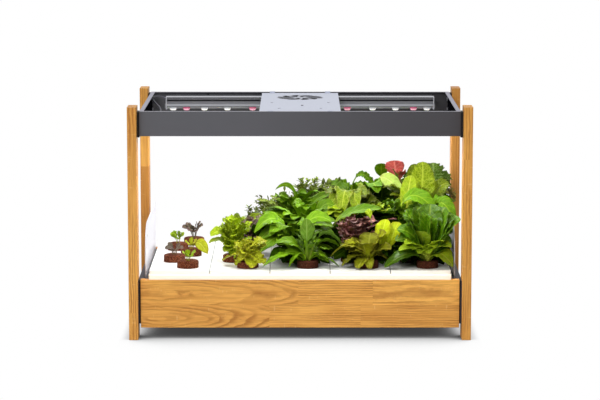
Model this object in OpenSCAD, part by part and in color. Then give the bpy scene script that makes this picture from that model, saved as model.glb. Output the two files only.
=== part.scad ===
// Countertop hydroponic garden: an oak frame, a water tub with five lift-out planting trays,
// and an aluminium lamp frame with two finned LED bars, a cooling fan and a push button.
// Millimetres. +Z is up, the front faces -Y, and the origin is the middle of the footprint.

/* [Overall] */
// Width over the posts
overall_w = 620; // [600:5:680]
// Depth over the posts
overall_d = 390; // [380:5:430]
// Height of the posts
overall_h = 424; // [416:2:480]

/* [Oak frame] */
// Width of a post, seen from the front
post_w = 16.5; // [14:0.5:22]
// Depth of a post, front to back
post_d = 45; // [38:1:54]
// Rounding of the long edges of posts and boards
oak_round = 1.2; // [0.6:0.1:2]
// Height of a board
board_h = 88; // [80:1:96]
// Thickness of a board
board_t = 16; // [12:0.5:20]
// Height of a board's lower edge over the worktop
board_z = 20.7; // [16:0.1:26]
// How far a board stands back from the posts' faces
board_inset = 12; // [8:0.5:16]
// Dark gap between a post and what hangs between the posts
spacer_t = 4.5; // [3.5:0.1:6]

/* [Side plates] */
// Thickness of the folded sheet
plate_t = 2; // [1.5:0.1:2.5]
// Height of the plates' lower edge
plate_z = 28; // [26:0.5:30]
// Thickness of the rail along the top
rail_t = 4.5; // [4:0.1:6]
// Width of the rail along the top, inwards from the posts
rail_w = 17.5; // [16:0.1:18.5]
// Reach of the lower flange that carries the tub
shelf_w = 43; // [36:1:50]

/* [Tub] */
// Wall of the tub
tub_wall = 3; // [2.5:0.1:4]
// Height of the rim over the boards
rim_h = 8; // [6:0.1:10]
// How far the rim reaches over the boards
rim_lap = 14; // [8:0.5:15]

/* [Trays] */
// Number of trays
tray_count = 5; // [5:1:5]
// Gap between neighbouring trays
tray_gap = 0.6; // [0.6:0.1:1.2]
// Height of a tray's skirt
tray_h = 6.4; // [5:0.1:8]
// Wall of a tray
tray_wall = 2.4; // [2:0.1:3]
// Depth of a planting socket below the tray's top
socket_depth = 27; // [22:0.5:32]
// Sideways zigzag of the sockets
zigzag = 14; // [10:0.5:18]
// Pitch of the sockets, front to back
socket_pitch = 65; // [58:0.5:66]

/* [Plugs] */
// Diameter of a growing plug
plug_d = 39.5; // [34:0.5:42]
// How far a plug stands out of its tray
plug_proud = 13; // [8:0.5:16]
// Radial clearance of a plug in its socket
plug_clear = 0.45; // [0.3:0.05:0.8]

/* [Plants] */
// Room above the plants, under the lamp
plant_headroom = 67; // [64:1:90]
// Thickness of a leaf
leaf_t = 1.6; // [1.2:0.1:2.4]

/* [Side guards] */
// Thickness of a guard sheet
guard_t = 1.5; // [1:0.1:2]
// Height of a guard over its rail
guard_h = 93; // [70:1:110]
// How far a guard's front edge stands back from the posts' faces
guard_inset = 54; // [46:1:70]
// Radius of a guard's front top corner
guard_r = 58; // [20:1:60]

/* [Lamp frame] */
// Height of the lamp's walls
lamp_h = 44.6; // [42:0.2:52]
// Distance from the posts' tops down to the lamp's rim
lamp_drop = 9; // [8:0.2:14]
// How far the lamp stands back from the posts' faces
lamp_inset = 17; // [14:0.5:20]
// Width of the lamp's rim
rim_w = 7.5; // [6:0.1:9]
// Thickness of the lamp's sheet
lamp_t = 2; // [1.5:0.1:2.5]

/* [LED bars] */
// Distance from the lamp's side wall to the bar's end plate
bar_end_gap = 30.5; // [20:0.5:34]
// Depth of a bar, from its panel towards the middle
bar_d = 46; // [42:0.5:50]
// Height of a bar's finned body
bar_h = 17.5; // [16:0.5:23]
// Distance from the lamp's rim down to the bar's top
bar_drop = 6; // [3:0.1:8]
// Diameter of a lens
lens_d = 14.6; // [12:0.2:16]
// Height of a lens
lens_h = 6.5; // [5:0.1:7.5]

/* [Cover] */
// Width of the middle cover
cover_w = 147; // [140:1:160]
// Thickness of the cover
cover_t = 1.2; // [1:0.1:1.6]
// How far the cover's underside lies below the lamp's rim
cover_drop = 2.4; // [2:0.1:3.6]
// Diameter of the vent
vent_d = 90; // [80:1:92]
// Diameter of the vent's plain middle
vent_hub_d = 22; // [18:1:30]
// Number of curved slots in the vent
vent_slots = 10; // [8:1:11]
// Gap between the fan and the rear bar
fan_gap = 4; // [3:0.5:20]
// Diameter of the button's cap
button_d = 4.6; // [4:0.1:6]
// Travel of the button
button_travel = 1; // [0.6:0.1:1.2]

/* [Fan] */
// Side of the fan's frame
fan_w = 92; // [88:1:92]
// Height of the fan's frame
fan_h = 15; // [14:0.5:20]
// Number of fan blades
fan_blades = 7; // [5:1:9]
// Radial running clearance of the rotor's shaft
shaft_clear = 0.05; // [0.02:0.01:0.09]

/* [Hidden] */
$fn = 48;
EPS = 0.01;
SEAT = 0.3;                                   // clearance of a piece that is slid into its seat
SIDES = [-1, 1];

// Heights
board_top = board_z + board_h;
rim_top = board_top + rim_h;
tray_top = rim_top + tray_h;
plug_top = tray_top + plug_proud;
lamp_top = overall_h - lamp_drop;
lamp_z = lamp_top - lamp_h;
plate_top = board_top - 1.2;
plant_limit = lamp_z - plant_headroom;

// Widths, all from the inner faces of the posts
post_in = overall_w / 2 - post_w;
inner_half = post_in - spacer_t;              // half length of a board and half width of the lamp
post_y = overall_d / 2 - post_d / 2;
board_y = overall_d / 2 - board_inset - board_t / 2;
board_back = overall_d / 2 - board_inset - board_t;
lamp_half_d = overall_d / 2 - lamp_inset;

// Tub: it hangs clear of the side plates and stands on their lower flanges
rail_in = post_in - rail_w;
tub_half_w = rail_in - 1.5;                   // over the rim
tub_body_w = tub_half_w - 4.5;
tub_half_d = board_back - SEAT;
rim_half_d = board_back + rim_lap;
tub_z = plate_z + plate_t;

// Trays
tray_pitch = 2 * (tub_half_w - 0.25) / tray_count;
tray_w = tray_pitch - tray_gap;
tray_half_d = board_back;
socket_r = plug_d / 2 + plug_clear;
socket_z = tray_top - socket_depth;
SOCKETS = [-2, -1, 0, 1, 2];
name_field = [25, 9];                         // shallow field at a tray's front

// Guards stand in a groove along the rail
guard_x = rail_in + 6.75;
groove_d = 2.5;
guard_z = plate_top - groove_d;

// Lamp
web_y = lamp_half_d - lamp_t;                 // inner face of the front and rear walls
bar_half = inner_half - bar_end_gap - rim_w + 5.5;
bar_top = lamp_top - bar_drop;
bar_z = bar_top - bar_h;
bar_face = web_y - bar_d;                     // face of a bar, towards the middle
end_plate_t = 2;
plate_drop = 6;                               // the end plates reach below the bar's body
led_board_t = 1.6;
led_board_w = 12;
LED_SHARE = [0, 0.178, 0.356, 0.546, 0.718, 0.853, 0.954];   // places along half a bar
RED_LEDS = [2, 5];                            // places that hold a red LED
lens_y = bar_face + 8;

// Cover, fan, driver and button
cover_z = lamp_top - cover_drop;              // underside of the cover
cover_half_d = lamp_half_d - rim_w - 5.5;
tab_w = 10;
tab_x = 53.5;
tab_reach = 11.5;                             // from the cover's edge over the rim
vent_r = vent_d / 2;
fan_y = bar_face - fan_gap - fan_w / 2;       // middle of the vent and fan
fan_top = cover_z;
fan_bore = fan_w / 2 - 2;
fan_strut_t = 2.4;
hub_r = 15;
blade_tip = fan_bore - 1.5;
shaft_r = 2;
driver_gap = 8;                               // from the front bar to the driver case
driver_fan_gap = 39;                          // from the driver case to the fan
driver_y = [driver_gap - bar_face, fan_y - fan_w / 2 - driver_fan_gap];
driver_half_w = 62;
driver_h = 26;
button_pos = [4, (driver_y[0] + driver_y[1]) / 2 - 2.5];
button_flange = button_d / 2 + 1.2;
well_r = button_flange + 1;
SCREWS = [for (s = [[-53, driver_y[1] - 8], [-38, driver_y[0] + 7]], sx = SIDES) [sx * s.x, s.y]];

// Bolts
bolt_r = 2.5;
bolt_clear = 0.2;
bolt_head_r = 4.5;
bolt_head_h = 2.2;
bolt_in_post = 11;
lamp_bolt_z = [lamp_z + 11, lamp_top - 13];
base_bolt_z = [plate_z + 20, plate_top - 20];
lamp_bolt_y = post_y - 6;
base_bolt_y = overall_d / 2 - post_d + 8;
bracket_leg = 15;
bracket_t = 2;

// Inlet on the rear wall
inlet_x = 40;
inlet_z = (lamp_z + lamp_t + bar_z) / 2;      // between the wall's foot and the bar
cable_hole = 4.5;
cable_hole_x = 78 - bar_half;
cable_hole_z = lamp_top - 6;

OAK = [0.80, 0.56, 0.28];
OAK_PALE = [0.86, 0.64, 0.36];
ANTHRACITE = [0.31, 0.31, 0.32];
BLACK = [0.06, 0.06, 0.07];
WHITE = [0.95, 0.95, 0.94];
SOIL = [0.26, 0.14, 0.09];
SILVER = [0.62, 0.62, 0.64];

// ---- Shared shapes ----

// Rectangle with round corners, from true arcs
module round_rect(w, d, r) {
  square([w - 2 * r, d], center = true);
  square([w, d - 2 * r], center = true);
  for (x = SIDES, y = SIDES)
    translate([x * (w / 2 - r), y * (d / 2 - r)]) circle(r);
}

// Bar of oak whose four long edges are eased
module oak_bar(w, d, h, r) {
  linear_extrude(h) round_rect(w, d, r);
}

// Hole or shank along X, from x0 to x1
module along_x(x0, x1, r) {
  translate([min(x0, x1), 0, 0]) rotate([0, 90, 0]) cylinder(h = abs(x1 - x0), r = r);
}

// A bolt whose head sits at x = 0 and whose shank points outwards along side
module bolt(side, length) {
  along_x(-side * bolt_head_h, 0, bolt_head_r);
  along_x(-side * EPS, side * length, bolt_r);
}

// Clear holes for the bolts of one side, at places given by y and the list of heights
module bolt_holes(side, x0, x1, y, heights, extra) {
  for (ys = SIDES, z = heights)
    translate([0, ys * y, z]) along_x(side * x0, side * x1, bolt_r + extra);
}

// ---- Oak frame ----

module post(sx, sy) {
  color(OAK) difference() {
    translate([sx * (overall_w / 2 - post_w / 2), sy * post_y, 0])
      oak_bar(post_w, post_d, overall_h, oak_round);
    bolt_holes(sx, post_in - 1, post_in + bolt_in_post + 0.5, lamp_bolt_y, lamp_bolt_z, bolt_clear);
    bolt_holes(sx, post_in - 1, post_in + bolt_in_post + 0.5, base_bolt_y, base_bolt_z, bolt_clear);
  }
}

module board(sy) {
  color(OAK_PALE) translate([0, sy * board_y, board_z + board_h / 2])
    rotate([0, 90, 0]) translate([0, 0, -inner_half])
      oak_bar(board_h, board_t, 2 * inner_half, oak_round);
}

// ---- Side plates that join the posts and carry the tub ----

// Section of a plate: wall against the posts, grooved rail on top, shelf flange at the foot
module plate_section() {
  difference() {
    union() {
      translate([post_in - plate_t, plate_z]) square([plate_t, plate_top - plate_z]);
      translate([rail_in, plate_top - rail_t]) square([rail_w, rail_t]);
      translate([rail_in, plate_top - rail_t - 5]) square([plate_t, 6]);
      translate([post_in - shelf_w, plate_z]) square([shelf_w, plate_t]);
    }
    translate([guard_x - guard_t / 2 - SEAT, guard_z]) square([guard_t + 2 * SEAT, groove_d + 1]);
  }
}

module side_plate(sx) {
  color(ANTHRACITE) difference() {
    mirror([sx < 0 ? 1 : 0, 0, 0])
      rotate([90, 0, 0]) translate([0, 0, -board_back]) linear_extrude(2 * board_back) plate_section();
    bolt_holes(sx, post_in - plate_t - 1, post_in + 1, base_bolt_y, base_bolt_z, bolt_clear);
  }
  // tongues that reach between the posts and the boards' ends
  color(ANTHRACITE) for (sy = SIDES)
    translate([sx * (post_in - plate_t / 2), sy * board_y, plate_z])
      linear_extrude(plate_top - plate_z) square([plate_t, board_t], center = true);
}

// Pads that fill the rest of the gap beside each board
module board_pads() {
  pad_t = spacer_t - plate_t;
  color(BLACK) for (sx = SIDES, sy = SIDES)
    translate([sx * (inner_half + pad_t / 2), sy * board_y, plate_z])
      linear_extrude(plate_top - plate_z) square([pad_t, board_t - 4], center = true);
}

// Angles behind the boards' ends, bolted to the side plates
module corner_brackets() {
  h = plate_top - rail_t - plate_z - 18;
  color(SILVER) for (sx = SIDES, sy = SIDES) difference() {
    translate([0, 0, plate_z + 8]) linear_extrude(h) {
      translate([sx * (post_in - plate_t - bracket_t / 2), sy * (board_back - bracket_leg / 2)])
        square([bracket_t, bracket_leg], center = true);
      translate([sx * (post_in - plate_t - bracket_leg / 2), sy * (board_back - bracket_t / 2)])
        square([bracket_leg, bracket_t], center = true);
    }
    bolt_holes(sx, post_in - plate_t - bracket_t - 1, post_in, base_bolt_y, base_bolt_z, bolt_clear);
  }
}

module base_bolts() {
  head_x = post_in - plate_t - bracket_t;
  color(SILVER) for (sx = SIDES, sy = SIDES, z = base_bolt_z)
    translate([sx * head_x, sy * base_bolt_y, z]) bolt(sx, plate_t + bracket_t + bolt_in_post);
}

// ---- Water tub ----

module tub_plan(half_w, half_d, r) {
  round_rect(2 * half_w, 2 * half_d, r);
}

module water_tub() {
  inner_w = tub_body_w - tub_wall;
  inner_d = tub_half_d - tub_wall;
  color(WHITE) difference() {
    union() {
      translate([0, 0, tub_z]) linear_extrude(rim_top - tub_z) tub_plan(tub_body_w, tub_half_d, 8);
      translate([0, 0, rim_top - tub_wall]) linear_extrude(tub_wall) tub_plan(tub_half_w, rim_half_d, 3);
      translate([0, 0, board_top]) linear_extrude(rim_h) difference() {
        tub_plan(tub_half_w, rim_half_d, 3);
        square([2 * (tub_half_w - 2), 2 * (rim_half_d - 2.4)], center = true);
      }
    }
    translate([0, 0, tub_z + tub_wall]) linear_extrude(rim_top) tub_plan(inner_w, inner_d, 5);
  }
}

// ---- Trays with planting sockets ----

// Middle of tray number n, counted from the left
function tray_x(n) = (n - (tray_count + 1) / 2) * tray_pitch;

// Places of the sockets in a tray: a zigzag that starts to the right at the front
function socket_xy(k) = [(k % 2 == 0 ? 1 : -1) * zigzag, k * socket_pitch];

module tray(n) {
  collar_r = socket_r + tray_wall - 0.4;
  color(WHITE) translate([tray_x(n), 0, 0]) difference() {
    union() {
      translate([0, 0, rim_top]) linear_extrude(tray_h) difference() {
        round_rect(tray_w, 2 * tray_half_d, 1.5);
        square([tray_w - 2 * tray_wall, 2 * (tray_half_d - tray_wall)], center = true);
      }
      translate([0, 0, tray_top - tray_wall]) linear_extrude(tray_wall)
        round_rect(tray_w, 2 * tray_half_d, 1.5);
      for (k = SOCKETS) translate([socket_xy(k).x, socket_xy(k).y, socket_z])
        cylinder(h = tray_top - socket_z - EPS, r = collar_r);
    }
    for (k = SOCKETS) translate([socket_xy(k).x, socket_xy(k).y, 0]) {
      translate([0, 0, socket_z + tray_wall]) cylinder(h = socket_depth, r = socket_r);
      translate([0, 0, socket_z - 1]) cylinder(h = socket_depth, r = socket_r - 7);
    }
    // shallow name field at the front
    translate([-tray_w / 4 - 1, -tray_half_d + name_field.y, tray_top - 0.6])
      linear_extrude(1) round_rect(name_field.x, name_field.y, 1.5);
  }
}

// Plugs of one tray: a drum with eased edges and a dimple for the stem
module plugs(n) {
  r = plug_d / 2;
  foot = socket_z + tray_wall;
  color(SOIL) translate([tray_x(n), 0, 0]) for (k = SOCKETS)
    translate([socket_xy(k).x, socket_xy(k).y, 0]) rotate_extrude()
      polygon([[0, foot], [r - 1.5, foot], [r, foot + 1.5], [r, plug_top - 2.2], [r - 0.7, plug_top - 0.7],
        [r - 2.2, plug_top], [6, plug_top], [0, plug_top - 1.5]]);
}

// ---- Plants ----

// One plant for each socket, from the front to the back of the tray:
// number of leaves, leaf length, leaf width, lean of the leaves from upright, turn of the first leaf
PLANTS = [
  [[3, 22, 13, 44, 100], [3, 25, 12, 38, 60], [4, 22, 11, 42, 20], [3, 24, 12, 40, 80], [5, 32, 12, 34, 0]],
  [[8, 46, 28, 58, 250], [7, 78, 30, 36, 200], [6, 74, 26, 34, 150], [6, 62, 26, 38, 130], [6, 84, 24, 30, 60]],
  [[6, 84, 32, 38, 190], [8, 84, 36, 52, 215], [6, 104, 34, 30, 150], [7, 118, 26, 28, 110], [7, 122, 28, 28, 70]],
  [[9, 88, 40, 42, 230], [8, 92, 40, 40, 240], [6, 140, 38, 22, 170], [7, 122, 42, 32, 110], [6, 150, 36, 22, 60]],
  [[9, 130, 50, 30, 215], [6, 152, 46, 24, 250], [7, 166, 54, 18, 200], [6, 160, 40, 22, 110], [7, 148, 40, 26, 50]]
];
LEAF_GREENS = [[0.45, 0.62, 0.20], [0.52, 0.68, 0.22], [0.24, 0.52, 0.16], [0.42, 0.58, 0.22], [0.20, 0.46, 0.14]];
PETIOLE = 0.3;                                // share of a leaf's length that is its stalk
STALK_R = 1.5;                                // half width of a leaf's stalk
CROWN_R = 4.8;                                // the crown that a plant's leaves grow from

// Point of a leaf's middle line: it leaves the plug steeply and bends outwards to twice its lean
function mid_line(s, length, lean) = let(u = s * 2 * lean, arc_r = length / (2 * lean * PI / 180))
  lean < 0.5 ? [0, s * length] : [arc_r * (1 - cos(u)), arc_r * sin(u)];

// Half width of a leaf at a share s of its length: a thin stalk, then a rounded blade
function half_width(s, width) =
  s <= PETIOLE ? STALK_R : STALK_R + (width / 2 - STALK_R) * sin(180 * pow((s - PETIOLE) / (1 - PETIOLE), 0.85));

// Lean that keeps a leaf inside its tray, for the room it has sideways
function fitted_lean(length, lean, room) = min(lean, asin(min(1, max(room, 4) / length)));

// Leaf: cross-sections of four points along the middle line, closed at the foot and at the tip
module leaf(length, width, lean) {
  stops = [0, PETIOLE, 0.5, 0.72, 0.9];
  rings = [for (s = stops, j = [0:3]) let(
      w = half_width(s, width), p = mid_line(s, length, lean), u = s * 2 * lean,
      side = [0, 1, 0, -1][j], up = [0.5, 0, -0.5, 0][j] * leaf_t + (side == 0 ? 0 : 0.2 * (w - STALK_R)))
    [p.x - up * cos(u), side * w, p.y + up * sin(u)]];
  tip = mid_line(1, length, lean);
  n = len(stops);
  faces = concat(
    [[0, 1, 2, 3]],
    [for (i = [0:n - 2], j = [0:3]) let(a = 4 * i + j, b = 4 * i + (j + 1) % 4) each [
      [a, a + 4, b], [b, a + 4, b + 4]]],
    [for (j = [0:3]) [4 * (n - 1) + j, 4 * n, 4 * (n - 1) + (j + 1) % 4]]);
  polyhedron(concat(rings, [[tip.x, 0, tip.y]]), [for (f = faces) [for (k = [len(f) - 1:-1:0]) f[k]]]);
}

// Rosette of leaves that turn by the golden angle and grow steeper towards the middle
module rosette(count, length, width, lean, turn, offset_x) {
  room = tray_w / 2 - 1.5;
  for (i = [0:count - 1]) {
    az = turn + 137.5 * i;
    share = 1 - 0.35 * i / count;
    leaf_len = length * (0.82 + 0.18 * i / count);
    free = (room - (cos(az) > 0 ? offset_x : -offset_x) - width * 0.5 * abs(sin(az))) / max(0.12, abs(cos(az)));
    rotate([0, 0, az]) translate([CROWN_R - 1.4, 0, 0.8]) leaf(leaf_len, width, fitted_lean(leaf_len, lean * share, free));
  }
  cylinder(h = 3.5, r = CROWN_R, $fn = 8);
}

module plants(n) {
  color(LEAF_GREENS[n - 1]) for (i = [0:4]) let(k = SOCKETS[i], p = PLANTS[n - 1][i], xy = socket_xy(k))
    translate([tray_x(n) + xy.x, xy.y, plug_top])
      rosette(p[0], min(p[1], plant_limit - plug_top), p[2], p[3], p[4], xy.x);
}

// ---- Side guards ----

// Sheet with a large round corner at its front top, on the rail's groove
module side_guard(sx) {
  front = -overall_d / 2 + guard_inset;
  back = board_back - 1;
  top = guard_z + groove_d + guard_h;
  color(WHITE, 0.6) translate([sx * guard_x - guard_t / 2, 0, 0])
    rotate([90, 0, 90]) linear_extrude(guard_t) difference() {
      translate([front, guard_z]) square([back - front, top - guard_z]);
      difference() {
        translate([front - 1, top - guard_r]) square(guard_r + 1);
        translate([front + guard_r, top - guard_r]) circle(guard_r, $fn = 96);
      }
    }
}

// ---- Lamp frame ----

// Wall of the lamp: a channel of folded sheet, mitred at both ends, with its outer face on y = 0
module lamp_wall(length) {
  module plan(w) {
    polygon([[-length / 2, 0], [length / 2, 0], [length / 2 - w, w], [-length / 2 + w, w]]);
  }
  linear_extrude(lamp_h) plan(lamp_t);
  for (z = [0, lamp_h - lamp_t]) translate([0, 0, z]) linear_extrude(lamp_t) plan(rim_w);
}

module lamp_front_panel() {
  color(ANTHRACITE) translate([0, -lamp_half_d, lamp_z]) lamp_wall(2 * inner_half);
}

// The rear wall also has the inlet's hole and a small square cable hole near the rim
module lamp_rear_panel() {
  color(ANTHRACITE) difference() {
    translate([0, lamp_half_d, lamp_z]) rotate([0, 0, 180]) lamp_wall(2 * inner_half);
    translate([inlet_x, web_y - 1, inlet_z]) rotate([-90, 0, 0]) cylinder(h = lamp_t + 2, r = 4.3);
    translate([cable_hole_x, web_y + lamp_t / 2, cable_hole_z])
      cube([cable_hole, 2 * lamp_t, cable_hole], center = true);
  }
}

// Black bush in the cable hole, with a shallow dish on each face
module cable_bush() {
  color(BLACK) translate([cable_hole_x, web_y + lamp_t / 2, cable_hole_z]) difference() {
    cube([cable_hole, lamp_t, cable_hole], center = true);
    for (sy = SIDES) translate([0, sy * lamp_t / 2, 0]) cube([cable_hole - 1.6, 0.8, cable_hole - 1.6], center = true);
  }
}

module lamp_side(sx) {
  color(ANTHRACITE) difference() {
    translate([sx * inner_half, 0, lamp_z]) rotate([0, 0, sx * 90]) lamp_wall(2 * lamp_half_d);
    bolt_holes(sx, inner_half - lamp_t - 1, inner_half + 1, lamp_bolt_y, lamp_bolt_z, bolt_clear);
  }
}

// Blocks that hold the lamp off the posts
module lamp_spacers() {
  front = lamp_half_d - 1;
  back = overall_d / 2 - post_d + 1;
  color(BLACK) for (sx = SIDES) difference() {
    for (sy = SIDES)
      translate([sx * (inner_half + spacer_t / 2), sy * (front + back) / 2, lamp_z - 2.4])
        linear_extrude(lamp_h + 1.4) square([spacer_t, front - back], center = true);
    bolt_holes(sx, inner_half - 1, post_in + 1, lamp_bolt_y, lamp_bolt_z, bolt_clear);
  }
}

module lamp_bolts() {
  color(SILVER) for (sx = SIDES, sy = SIDES, z = lamp_bolt_z)
    translate([sx * (inner_half - lamp_t), sy * lamp_bolt_y, z])
      bolt(sx, lamp_t + spacer_t + bolt_in_post);
}

// ---- LED bars ----

// Section of the heat sink: u runs from the lamp's wall towards the middle, v runs up
module heat_sink_section() {
  back_t = 3;
  core = bar_d - 26;
  lip = 2.2;
  slot_top = 12.3;
  square([back_t, bar_h]);
  translate([0, bar_h / 2 - 2]) square([core + 1, 4]);
  translate([core, 0]) square([9, bar_h]);
  // towards the middle: a foot with a sloping lip, and a thick fin above a slot
  polygon([[core, 0], [bar_d, 0], [bar_d, 1], [bar_d - lip, 4], [bar_d - lip, 9.5], [core, 9.5]]);
  translate([core, slot_top]) square([bar_d - core - lip / 2, bar_h - slot_top]);
  // short fins towards the wall
  for (v = [1, bar_h / 2 + 5]) translate([core - 9, v]) square([10, 2]);
}

// Puts a section drawn in u, v against the front (sy = -1) or rear (sy = 1) wall
module along_bar(sy, x0, x1) {
  translate([x0, sy * web_y, bar_z])
    rotate([90, 0, 90]) mirror([sy > 0 ? 1 : 0, 0, 0]) linear_extrude(x1 - x0) children();
}

module heat_sink(sy) {
  color(SILVER) along_bar(sy, -bar_half, bar_half) heat_sink_section();
}

module bar_end_plates() {
  color(SILVER) for (sy = SIDES, sx = SIDES)
    along_bar(sy, sx > 0 ? bar_half : -bar_half - end_plate_t, sx > 0 ? bar_half + end_plate_t : -bar_half)
      translate([bar_d - 27, -plate_drop]) square([27, bar_h + plate_drop]);
}

// Strip that carries the LEDs, under the heat sink's foot
module led_board(sy) {
  color(WHITE) translate([0, sy * lens_y, bar_z - led_board_t / 2])
    cube([2 * bar_half, led_board_w, led_board_t], center = true);
}

// Lens: a clear dome with a collar, hanging from the strip
module lens() {
  r = lens_d / 2;
  rotate_extrude() intersection() {
    translate([0, -1.2]) union() {
      translate([0, 0]) square([r, 1.2]);
      circle(r - 0.4);
    }
    translate([0, -lens_h]) square([r, lens_h]);
  }
}

module lenses(wants_red) {
  for (sy = SIDES, sx = SIDES, i = [0:len(LED_SHARE) - 1])
    if ((len(search(i, RED_LEDS)) > 0) == wants_red && (i > 0 || sx > 0))
      translate([sx * LED_SHARE[i] * bar_half, sy * lens_y, bar_z - led_board_t]) lens();
}

module white_lenses() { color("white") lenses(false); }
module red_lenses() { color("hotpink") lenses(true); }

// ---- Cover with the vent ----

// Radius of an arc that rises by sag over a chord
function arc_radius(chord, sag) = (chord * chord / 4 + sag * sag) / (2 * sag);

// Curved slot: a crescent between two arcs over one slanted chord, from the hub to the vent's edge
module vent_slot() {
  inner = vent_hub_d / 2 + 1.5;
  chord = vent_r - inner - 0.5;
  flat = 2.5;
  full = 14.5;
  translate([inner, 0]) rotate(-24) translate([chord / 2, 0]) difference() {
    translate([0, full - arc_radius(chord, full)]) circle(arc_radius(chord, full), $fn = 96);
    translate([0, flat - arc_radius(chord, flat)]) circle(arc_radius(chord, flat), $fn = 96);
  }
}

module cover_plate() {
  color([0.80, 0.80, 0.85]) {
    translate([0, 0, cover_z]) linear_extrude(cover_t) difference() {
      round_rect(cover_w, 2 * cover_half_d, 1.5);
      translate([0, fan_y]) for (i = [0:vent_slots - 1]) rotate(i * 360 / vent_slots) vent_slot();
      for (s = SCREWS) translate(s) circle(1.6);
      translate(button_pos) circle(button_d / 2 + 0.2);
    }
    // tabs step up from the cover's edges and lie on the lamp's rims
    for (sx = SIDES, sy = SIDES) translate([sx * tab_x, sy * cover_half_d, 0]) {
      translate([0, -sy * cover_t / 2, cover_z]) linear_extrude(cover_drop + cover_t)
        square([tab_w, cover_t], center = true);
      translate([0, sy * tab_reach / 2 - sy * cover_t / 2, lamp_top]) linear_extrude(cover_t)
        square([tab_w, tab_reach + cover_t], center = true);
    }
  }
}

module cover_screws() {
  color(SILVER) for (s = SCREWS) translate([s.x, s.y, cover_z + cover_t]) {
    cylinder(h = 0.9, r = 2.4);
    translate([0, 0, -cover_t - 8]) cylinder(h = cover_t + 8 + EPS, r = 1.25);
  }
}

// Driver case under the cover, with ribs along its sides and a well for the button's switch
module driver_case() {
  length = driver_y[1] - driver_y[0];
  middle = (driver_y[0] + driver_y[1]) / 2;
  rib_pitch = 12;
  ribs = floor((length - 20) / rib_pitch);
  color(SILVER) difference() {
    union() {
      translate([0, middle, cover_z - driver_h]) linear_extrude(driver_h)
        round_rect(2 * driver_half_w - 8, length, 4);
      translate([0, middle, cover_z - 3]) linear_extrude(3) round_rect(2 * driver_half_w, length, 4);
      for (sx = SIDES, i = [0:ribs - 1])
        translate([sx * (driver_half_w - 4), middle + (i - (ribs - 1) / 2) * rib_pitch, cover_z - driver_h + 3])
          linear_extrude(driver_h - 5) square([4, 3], center = true);
    }
    translate([button_pos.x, button_pos.y, cover_z - 6]) cylinder(h = 7, r = well_r);
    for (s = SCREWS) translate([s.x, s.y, cover_z - 9]) cylinder(h = 10, r = 1.35);
  }
  // switch in the well
  color(BLACK) translate([button_pos.x, button_pos.y, cover_z - 6 - EPS])
    cylinder(h = 4.4 - button_travel, r = well_r - 0.8);
}

// Button: cap through the cover, with a flange under it
module power_button() {
  color([0.45, 0.45, 0.47]) translate([button_pos.x, button_pos.y, cover_z]) {
    translate([0, 0, -1]) cylinder(h = 1 + cover_t + button_travel + 0.3, r = button_d / 2);
    translate([0, 0, -1.3]) cylinder(h = 1, r = button_flange);
  }
}

// ---- Fan under the vent ----

module fan_frame() {
  motor_r = hub_r + 1;
  color(BLACK) translate([0, fan_y, fan_top - fan_h]) {
    linear_extrude(fan_h) difference() {
      round_rect(fan_w, fan_w, 6);
      circle(fan_bore, $fn = 96);
      for (x = SIDES, y = SIDES) translate([x * (fan_w / 2 - 6), y * (fan_w / 2 - 6)]) circle(2.1);
    }
    // four arms carry the bearing seat at the foot
    difference() {
      union() {
        for (i = [0:3]) rotate([0, 0, 45 + 90 * i])
          translate([0, -2.5, 0]) cube([fan_bore + 1, 5, fan_strut_t]);
        cylinder(h = fan_strut_t, r = motor_r);
        cylinder(h = fan_strut_t + 3, r = shaft_r + 2.5);
      }
      translate([0, 0, -1]) cylinder(h = fan_h, r = shaft_r + shaft_clear);
    }
  }
}

// Rotor: a hollow hub on a shaft, with pitched blades
module fan_rotor() {
  foot = fan_strut_t + 0.6;
  height = fan_h - foot - 1.2;
  color([0.12, 0.12, 0.13]) translate([0, fan_y, fan_top - fan_h]) {
    difference() {
      translate([0, 0, foot]) cylinder(h = height, r = hub_r);
      translate([0, 0, foot - 1]) cylinder(h = height - 1, r = hub_r - 1.8);
    }
    cylinder(h = foot + height - 1, r = shaft_r);
    for (i = [0:fan_blades - 1]) rotate([0, 0, i * 360 / fan_blades]) intersection() {
      translate([hub_r - 0.6, 0, foot + height / 2]) rotate([38, 0, 0])
        translate([0, -11, -0.7]) cube([blade_tip, 22, 1.4]);
      difference() {
        translate([0, 0, foot + 0.4]) cylinder(h = height - 0.8, r = blade_tip, $fn = 96);
        cylinder(h = fan_h, r = hub_r - 0.9);
      }
    }
  }
}

// ---- Wiring ----

// Lead between the two bars' left ends, along the left wall; x, y, z by hand
LEAD_R = 1.5;
lead_x = -bar_half - end_plate_t;
LEAD = [
  [lead_x, bar_face + 12, bar_z + 14], [lead_x - 7, bar_face + 10, bar_z + 15],
  [lead_x - 14, bar_face - 8, bar_z + 15.5], [lead_x - 15, bar_face - 40, bar_z + 15],
  [lead_x - 9, bar_face - 100, bar_z + 14], [lead_x - 3, bar_face - 170, bar_z + 11],
  [lead_x - 4, -bar_face + 30, bar_z + 9], [lead_x - 7, -bar_face - 4, bar_z + 9],
  [lead_x - 5, -bar_face - 10, bar_z + 10], [lead_x, -bar_face - 12, bar_z + 10]
];

// Point of a smooth curve through the lead's points
function lead_at(s) = let(
    i = min(floor(s), len(LEAD) - 2), t = s - i,
    a = LEAD[max(i - 1, 0)], b = LEAD[i], c = LEAD[i + 1], d = LEAD[min(i + 2, len(LEAD) - 1)])
  0.5 * (2 * b + (c - a) * t + (2 * a - 5 * b + 4 * c - d) * t * t + (3 * b - a - 3 * c + d) * t * t * t);

function unit(v) = v / norm(v);

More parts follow.
